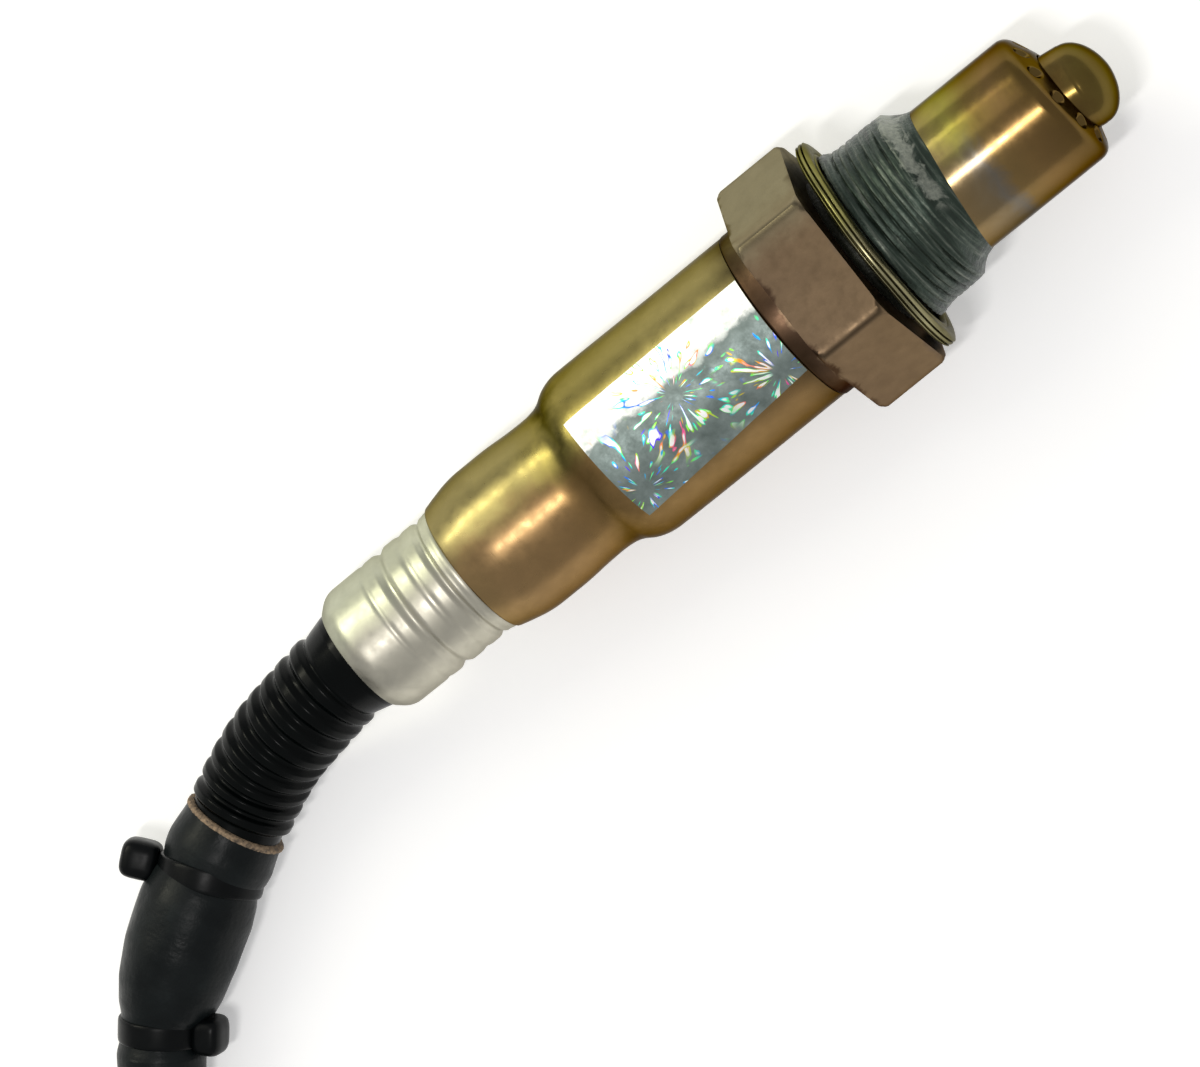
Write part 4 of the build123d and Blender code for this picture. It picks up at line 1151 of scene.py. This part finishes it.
def rounded_block(middle: np.ndarray, axes: np.ndarray, half: Triple,
                  softness: float = 0.55) -> Surface:
    """Block with round edges: a sphere's coordinates raised to a power below one.

    Args:
        middle: its middle in millimetres.
        axes: three unit vectors as rows.
        half: half its size along each.
        softness: the power; one gives an ellipsoid, and less gives squarer sides.

    Returns:
        Closed surface.
    """
    latitude = np.linspace(-np.pi / 2, np.pi / 2, 26)[1:-1]
    longitude = np.linspace(0, 2 * np.pi, 48, endpoint=False)
    lat, lon = np.meshgrid(latitude, longitude, indexing="ij")
    raw = np.stack([np.cos(lat) * np.cos(lon), np.cos(lat) * np.sin(lon), np.sin(lat)], axis=-1)
    local = np.sign(raw) * np.abs(raw) ** softness * np.array(half)
    return capped(middle + local @ axes)


@dataclass(frozen=True)
class Tie:
    """Thin strap sunk in the sleeve, closed by a small rounded head."""

    name: str
    run: float
    tilt: float
    radius: float
    head_turn: float
    head_out: float
    head: Triple
    width: float = 2.4
    thickness: float = 0.9
    squareness: float = 0.35

    def build(self, path: np.ndarray, run: np.ndarray) -> Thing:
        """Make the strap and its head at a distance along the cable's line.

        A point of the strap is the middle, plus the ring's radius and the section's thickness
        along a turning arm, plus the section's width along the line. The section is a circle
        whose coordinates are raised to a small power, which makes it a rounded rectangle.

        Args:
            path: points of the cable's line.
            run: distance along it at each point.

        Returns:
            The tie.
        """
        middle = path_at(path, run, self.run)
        ahead = path_at(path, run, self.run + 0.5) - middle
        line = ahead / np.linalg.norm(ahead)
        turn = Matrix.Rotation(math.radians(self.tilt), 3, "Z")
        line = np.array(turn) @ line
        side = np.cross([0.0, 0.0, 1.0], line)
        side /= np.linalg.norm(side)
        up = np.cross(line, side)
        a = np.linspace(0, 2 * np.pi, 160, endpoint=False)[:, None]
        b = np.linspace(0, 2 * np.pi, 28, endpoint=False)[None, :]
        wide, thick = (0.5 * size * np.sign(part) * np.abs(part) ** self.squareness
                       for size, part in ((self.width, np.cos(b)), (self.thickness, np.sin(b))))
        arm = np.cos(a)[..., None] * side + np.sin(a)[..., None] * up
        strap = middle + (self.radius + thick)[..., None] * arm + (wide + 0 * a)[..., None] * line
        turned = math.radians(self.head_turn)
        out = -math.cos(turned) * side + math.sin(turned) * up
        along = np.cross(line, out)
        head_middle = middle + (self.radius + self.head_out) * out
        head = rounded_block(head_middle, np.array([line, along, out]), self.head)
        tie = mesh_object(self.name + "_strap", joined(grid_surface(strap, Wrap.BOTH), head), 40)
        finish = PlainFinish(
            self.name + "_plastic", (5, 7, 8), 0.34, relief_mm=0.015, gloss=0.1)
        dress(tie, finish.material())
        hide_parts(self.name)
        return tie


@dataclass
class Cable:
    """Sleeved cable: bulging mouth, narrowing at the second tie, then out to its coil."""

    diameter: float = 7.6
    start: tuple[Triple, ...] = (
        (-80.9, -4.2, -4.8), (-83.9, -5.3143, -5.1), (-91.6, -9.4, -5.2), (-95.9, -12.3, -5.8),
        (-98.9, -14.3233, -6.2186), (-102.3, -18.3, -7.0), (-107.9, -27.3, -7.2),
        (-115.6, -41.4, -7.2), (-122.6, -56.2, -7.2))
    coil_radius: float = 42.0
    coil_pitch: float = 8.0
    coil_turns: float = 1.25
    per_turn: int = 16
    bulge: tuple[tuple[float, float], ...] = (
        (0, 4.85), (1.0, 4.95), (3.2, 5.25), (4.4, 5.15), (5.6, 4.8), (6.8, 5.2), (9.0, 5.5),
        (13.5, 5.45), (17.0, 5.05), (19.2, 4.5), (20.2, 4.0), (22.2, 3.9), (23.6, 4.3), (27, 4.1),
        (33, 3.8))
    fine_run: float = 40.0
    above_floor: float = 0.05
    front_tie: Tie = Tie("cable_tie_front", run=5.6, tilt=12.0, radius=4.72, head_turn=6.0,
                         head_out=2.0, head=(1.9, 2.1, 1.9))
    rear_tie: Tie = Tie("cable_tie_rear", run=21.3, tilt=3.0, radius=3.72, head_turn=172.0,
                        head_out=1.2, head=(1.9, 2.0, 1.5))

    def cut_end(self, path: np.ndarray) -> Thing:
        """Ring of cut fibres at the sleeve's mouth, a short ragged tube along the line.

        Args:
            path: points of the cable's line.

        Returns:
            The ring.
        """
        stations = np.linspace(-0.2, 0.3, 7)
        ahead = path[3] - path[0]
        line = path[0] + stations[:, None] * ahead / np.linalg.norm(ahead)
        angle = np.linspace(0, 2 * np.pi, 288, endpoint=False)
        radius = np.interp(stations, [-0.2, -0.1, 0.0, 0.3], [4.7, 4.95, 5.05, 5.0])
        tufts = 0.09 * ripple(stations[:, None] * 6, angle, 41, 14, 70)
        ring = mesh_object("cut_fibre_ring", tube_along(line, radius[:, None] + tufts), 70)
        finish = PlainFinish(
            "cut_fibre", (120, 102, 82), 0.85, relief_mm=0.15, scale=2600, variation=0.75)
        dress(ring, finish.material())
        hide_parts("sleeve_end_band")
        return ring

    def route(self) -> list[Triple]:
        """The cable's points and then those of the coil, a spiral that runs inwards.

        Point k of the coil is at the angle of arrival plus a quarter turn less its own turn, at
        the coil's radius less the pitch times the turns made.

        Returns:
            Control points in millimetres.
        """
        (x0, y0, _), (x1, y1, _) = self.start[-2:]
        heading = math.atan2(y1 - y0, x1 - x0)
        side = heading - math.pi / 2
        centre_x = x1 + self.coil_radius * math.cos(side)
        centre_y = y1 + self.coil_radius * math.sin(side)
        count = round(self.per_turn * self.coil_turns)
        turn = np.arange(0.5, count) / self.per_turn
        turn = np.append(turn, self.coil_turns)
        stretch = np.where(turn < self.coil_turns, 1 / math.cos(math.pi / self.per_turn), 1.0)
        radius = (self.coil_radius - self.coil_pitch * turn) * stretch
        angle = heading + math.pi / 2 - 2 * np.pi * turn
        height = np.full(len(turn), FLOOR_Z + self.diameter / 2)
        spiral = np.stack([centre_x + radius * np.cos(angle),
                           centre_y + radius * np.sin(angle), height], axis=-1)
        return [*self.start, *map(tuple, spiral)]

    def build(self, nodes: dict[str, Thing]) -> None:
        """Carry the sleeve along its line, with its bulge and creases near the ties.

        Args:
            nodes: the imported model's objects.
        """
        line = smooth_line("cable_line", self.route(), 16)
        _, _, _, run = path_frames(line)
        fine = np.arange(0, self.fine_run, 0.2)
        even = np.concatenate([fine, np.linspace(self.fine_run, run[-1], 720)])
        path = path_at(line, run, even)
        radius = np.interp(even, *np.array(self.bulge).T)
        kernel = np.hanning(7) / np.hanning(7).sum()
        softened = slice(4, len(fine))
        radius[softened] = np.convolve(radius, kernel, mode="same")[softened]
        angle = np.linspace(0, 2 * np.pi, 72, endpoint=False)
        lumps = 0.10 * ripple(even[:, None] * 0.6, angle, 21, 10, 5)
        fade = np.clip((even - 1.0) / 3, 0, 1) * np.clip((60 - even) / 20, 0.2, 1)
        grid = radius[:, None] + lumps * fade[:, None]
        lowest = path[:, 2] - radius
        lift = np.maximum(0, FLOOR_Z + self.above_floor - lowest)
        cable = mesh_object("sleeved_cable", tube_along(path, grid, lift), 50)
        dress(cable, CoatedSleeve().material())
        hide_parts("sleeve_mouth", "cable_run", "cable_coil")
        plug = [nodes[name] for name in ("plug_wires", "plug_rear_cap", "plug_wire_seal",
                                         "plug_housing", "plug_lock", "plug_rim_seal", "plug_pins")]
        plug += [tie.build(path, even) for tie in (self.front_tie, self.rear_tie)]
        plug.append(self.cut_end(path))
        LOG.info("cable line %.1f mm", run[-1])


@dataclass
class HiddenPieces:
    """Pieces inside the sensor and the plug beyond the cable, dressed as they are."""

    finishes: dict[str, PlainFinish | TintedSteel] = field(default_factory=lambda: {
        "front_ceramic_bush": PlainFinish("ceramic", (226, 222, 212), 0.6),
        "powder_seal": PlainFinish("powder", (205, 202, 196), 0.9, scale=1500),
        "rear_ceramic_bush": PlainFinish("ceramic_rear", (226, 222, 212), 0.6),
        "clamp_ring": PlainFinish("clamp_steel", (170, 168, 160), 0.35, 1.0),
        "sensing_element": PlainFinish("element_ceramic", (232, 230, 226), 0.5),
        "contact_holder_upper": PlainFinish("holder_ceramic_upper", (222, 218, 206), 0.6),
        "contact_holder_lower": PlainFinish("holder_ceramic_lower", (222, 218, 206), 0.6),
        "holder_band": PlainFinish("band_steel", (176, 174, 168), 0.35, 1.0),
        "contact_clips": PlainFinish("clip_metal", (190, 176, 130), 0.35, 1.0),
        "grommet": PlainFinish("grommet_rubber", (52, 54, 56), 0.7),
        "lead_wires": PlainFinish("lead_cover", (40, 40, 42), 0.5),
        "plug_wires": PlainFinish("wire_cover", (22, 22, 24), 0.4),
        "plug_rear_cap": PlainFinish("plug_cap", (26, 27, 28), 0.55, relief_mm=0.02),
        "plug_wire_seal": PlainFinish("wire_seal", (70, 80, 92), 0.7),
        "plug_housing": PlainFinish("plug_plastic", (24, 25, 26), 0.5, relief_mm=0.02),
        "plug_lock": PlainFinish("lock_plastic", (150, 60, 46), 0.5),
        "plug_rim_seal": PlainFinish("rim_seal", (70, 80, 92), 0.7),
        "plug_pins": PlainFinish("pin_metal", (196, 186, 150), 0.3, 1.0),
    })

    def build(self, nodes: dict[str, Thing]) -> None:
        """Give each node its material.

        Args:
            nodes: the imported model's objects.
        """
        for name, finish in self.finishes.items():
            nodes[name].data.materials.clear()
            nodes[name].data.materials.append(finish.material())


# ---------------------------------------------------------------- stage
@dataclass
class Studio:
    """Pale floor, soft lamps and the camera."""

    camera_place: Triple = (0.14043, -0.08309, 0.86291)
    axes: tuple[Triple, ...] = (
        (0.76225, 0.61592, 0.19903), (-0.61198, 0.78592, -0.08833), (-0.21082, -0.05447, 0.97600))
    lens: float = 287.76
    floor_half: float = 2.0
    glow: float = 0.26
    sky: float = 0.55

    def floor(self) -> None:
        """White floor that the camera sees at full white apart from the shadow."""
        size = self.floor_half / MM
        grid = np.linspace(-size, size, 3)
        x, y = np.meshgrid(grid, grid, indexing="ij")
        points = np.stack([x, y, np.full_like(x, FLOOR_Z - 0.02)], axis=-1)
        floor = mesh_object("studio_floor", grid_surface(points, Wrap.OPEN), 30)
        recipe = Recipe("studio_floor")
        recipe.set(Base_Color=(0.93, 0.93, 0.93, 1), Roughness=0.9)
        nodes, links = recipe.nodes, recipe.links
        path = nodes.new("ShaderNodeLightPath")
        glow = nodes.new("ShaderNodeEmission")
        glow.inputs["Strength"].default_value = self.glow
        add = nodes.new("ShaderNodeAddShader")
        mix = nodes.new("ShaderNodeMixShader")
        links.new(recipe.shader.outputs[0], add.inputs[0])
        links.new(glow.outputs[0], add.inputs[1])
        seen = recipe.maths("MAXIMUM", path.outputs["Is Camera Ray"], path.outputs["Is Glossy Ray"])
        links.new(recipe.maths("MAXIMUM", seen, path.outputs["Is Transmission Ray"]), mix.inputs[0])
        links.new(recipe.shader.outputs[0], mix.inputs[1])
        links.new(add.outputs[0], mix.inputs[2])
        links.new(mix.outputs[0], nodes["Material Output"].inputs["Surface"])
        floor.data.materials.append(recipe.material)

    def lamp(self, name: str, place: Triple, size: tuple[float, float],
             radiance: float, colour: Triple) -> None:
        """Rectangular lamp facing the axis, with a power of pi times its area and radiance.

        Args:
            name: the lamp's name.
            place: where it stands, in metres.
            size: its width and height in metres.
            radiance: how bright its face looks.
            colour: its light's colour.
        """
        light = bpy.data.lights.new(name, "AREA")
        light.shape = "RECTANGLE"
        light.size, light.size_y = size
        light.energy = math.pi * size[0] * size[1] * radiance
        light.color = colour
        lamp = bpy.data.objects.new(name, light)
        lamp.location = place
        ahead = Vector((place[0], 0, 0)) - Vector(place)
        lamp.rotation_euler = ahead.to_track_quat("-Z", "Y").to_euler()
        bpy.context.scene.collection.objects.link(lamp)

    def build(self) -> None:
        """Set the floor, the lamps, the world and the camera."""
        scene = bpy.context.scene
        scene.view_settings.view_transform = "Standard"
        self.floor()
        self.lamp("overhead", (-0.115, -0.10, 0.80), (0.17, 0.04), 80.0, (1, 0.98, 0.96))
        self.lamp("far_low", (-0.305, 0.50, 0.325), (0.40, 0.07), 16.0, (1, 0.98, 0.78))
        self.lamp("far_high", (-0.29, 0.36, 0.47), (0.42, 0.26), 1.7, (1, 0.98, 0.84))
        world = bpy.data.worlds.new("studio")
        scene.world = world
        world.use_nodes = True
        background = world.node_tree.nodes["Background"]
        background.inputs["Color"].default_value = (1, 1, 1, 1)
        background.inputs["Strength"].default_value = self.sky
        lens = bpy.data.cameras.new("studio_camera")
        lens.sensor_width = 36
        lens.lens = self.lens
        lens.clip_start = 0.01
        camera = bpy.data.objects.new("studio_camera", lens)
        rows = [[*row, place] for row, place in zip(self.axes, self.camera_place)]
        camera.matrix_world = Matrix([*rows, [0, 0, 0, 1]])
        scene.collection.objects.link(camera)
        scene.camera = camera


def main() -> None:
    """Load the solids, dress them and set the stage."""
    logging.basicConfig(level=logging.INFO, format="%(name)s %(message)s")
    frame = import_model()
    nodes = frame["nodes"]
    Studio().build()
    Tip().build()
    Shell().build()
    SealRing().build()
    Sheath().build()
    Outlet().build()
    Cable().build(nodes)
    HiddenPieces().build(nodes)


if __name__ == "__main__":
    main()
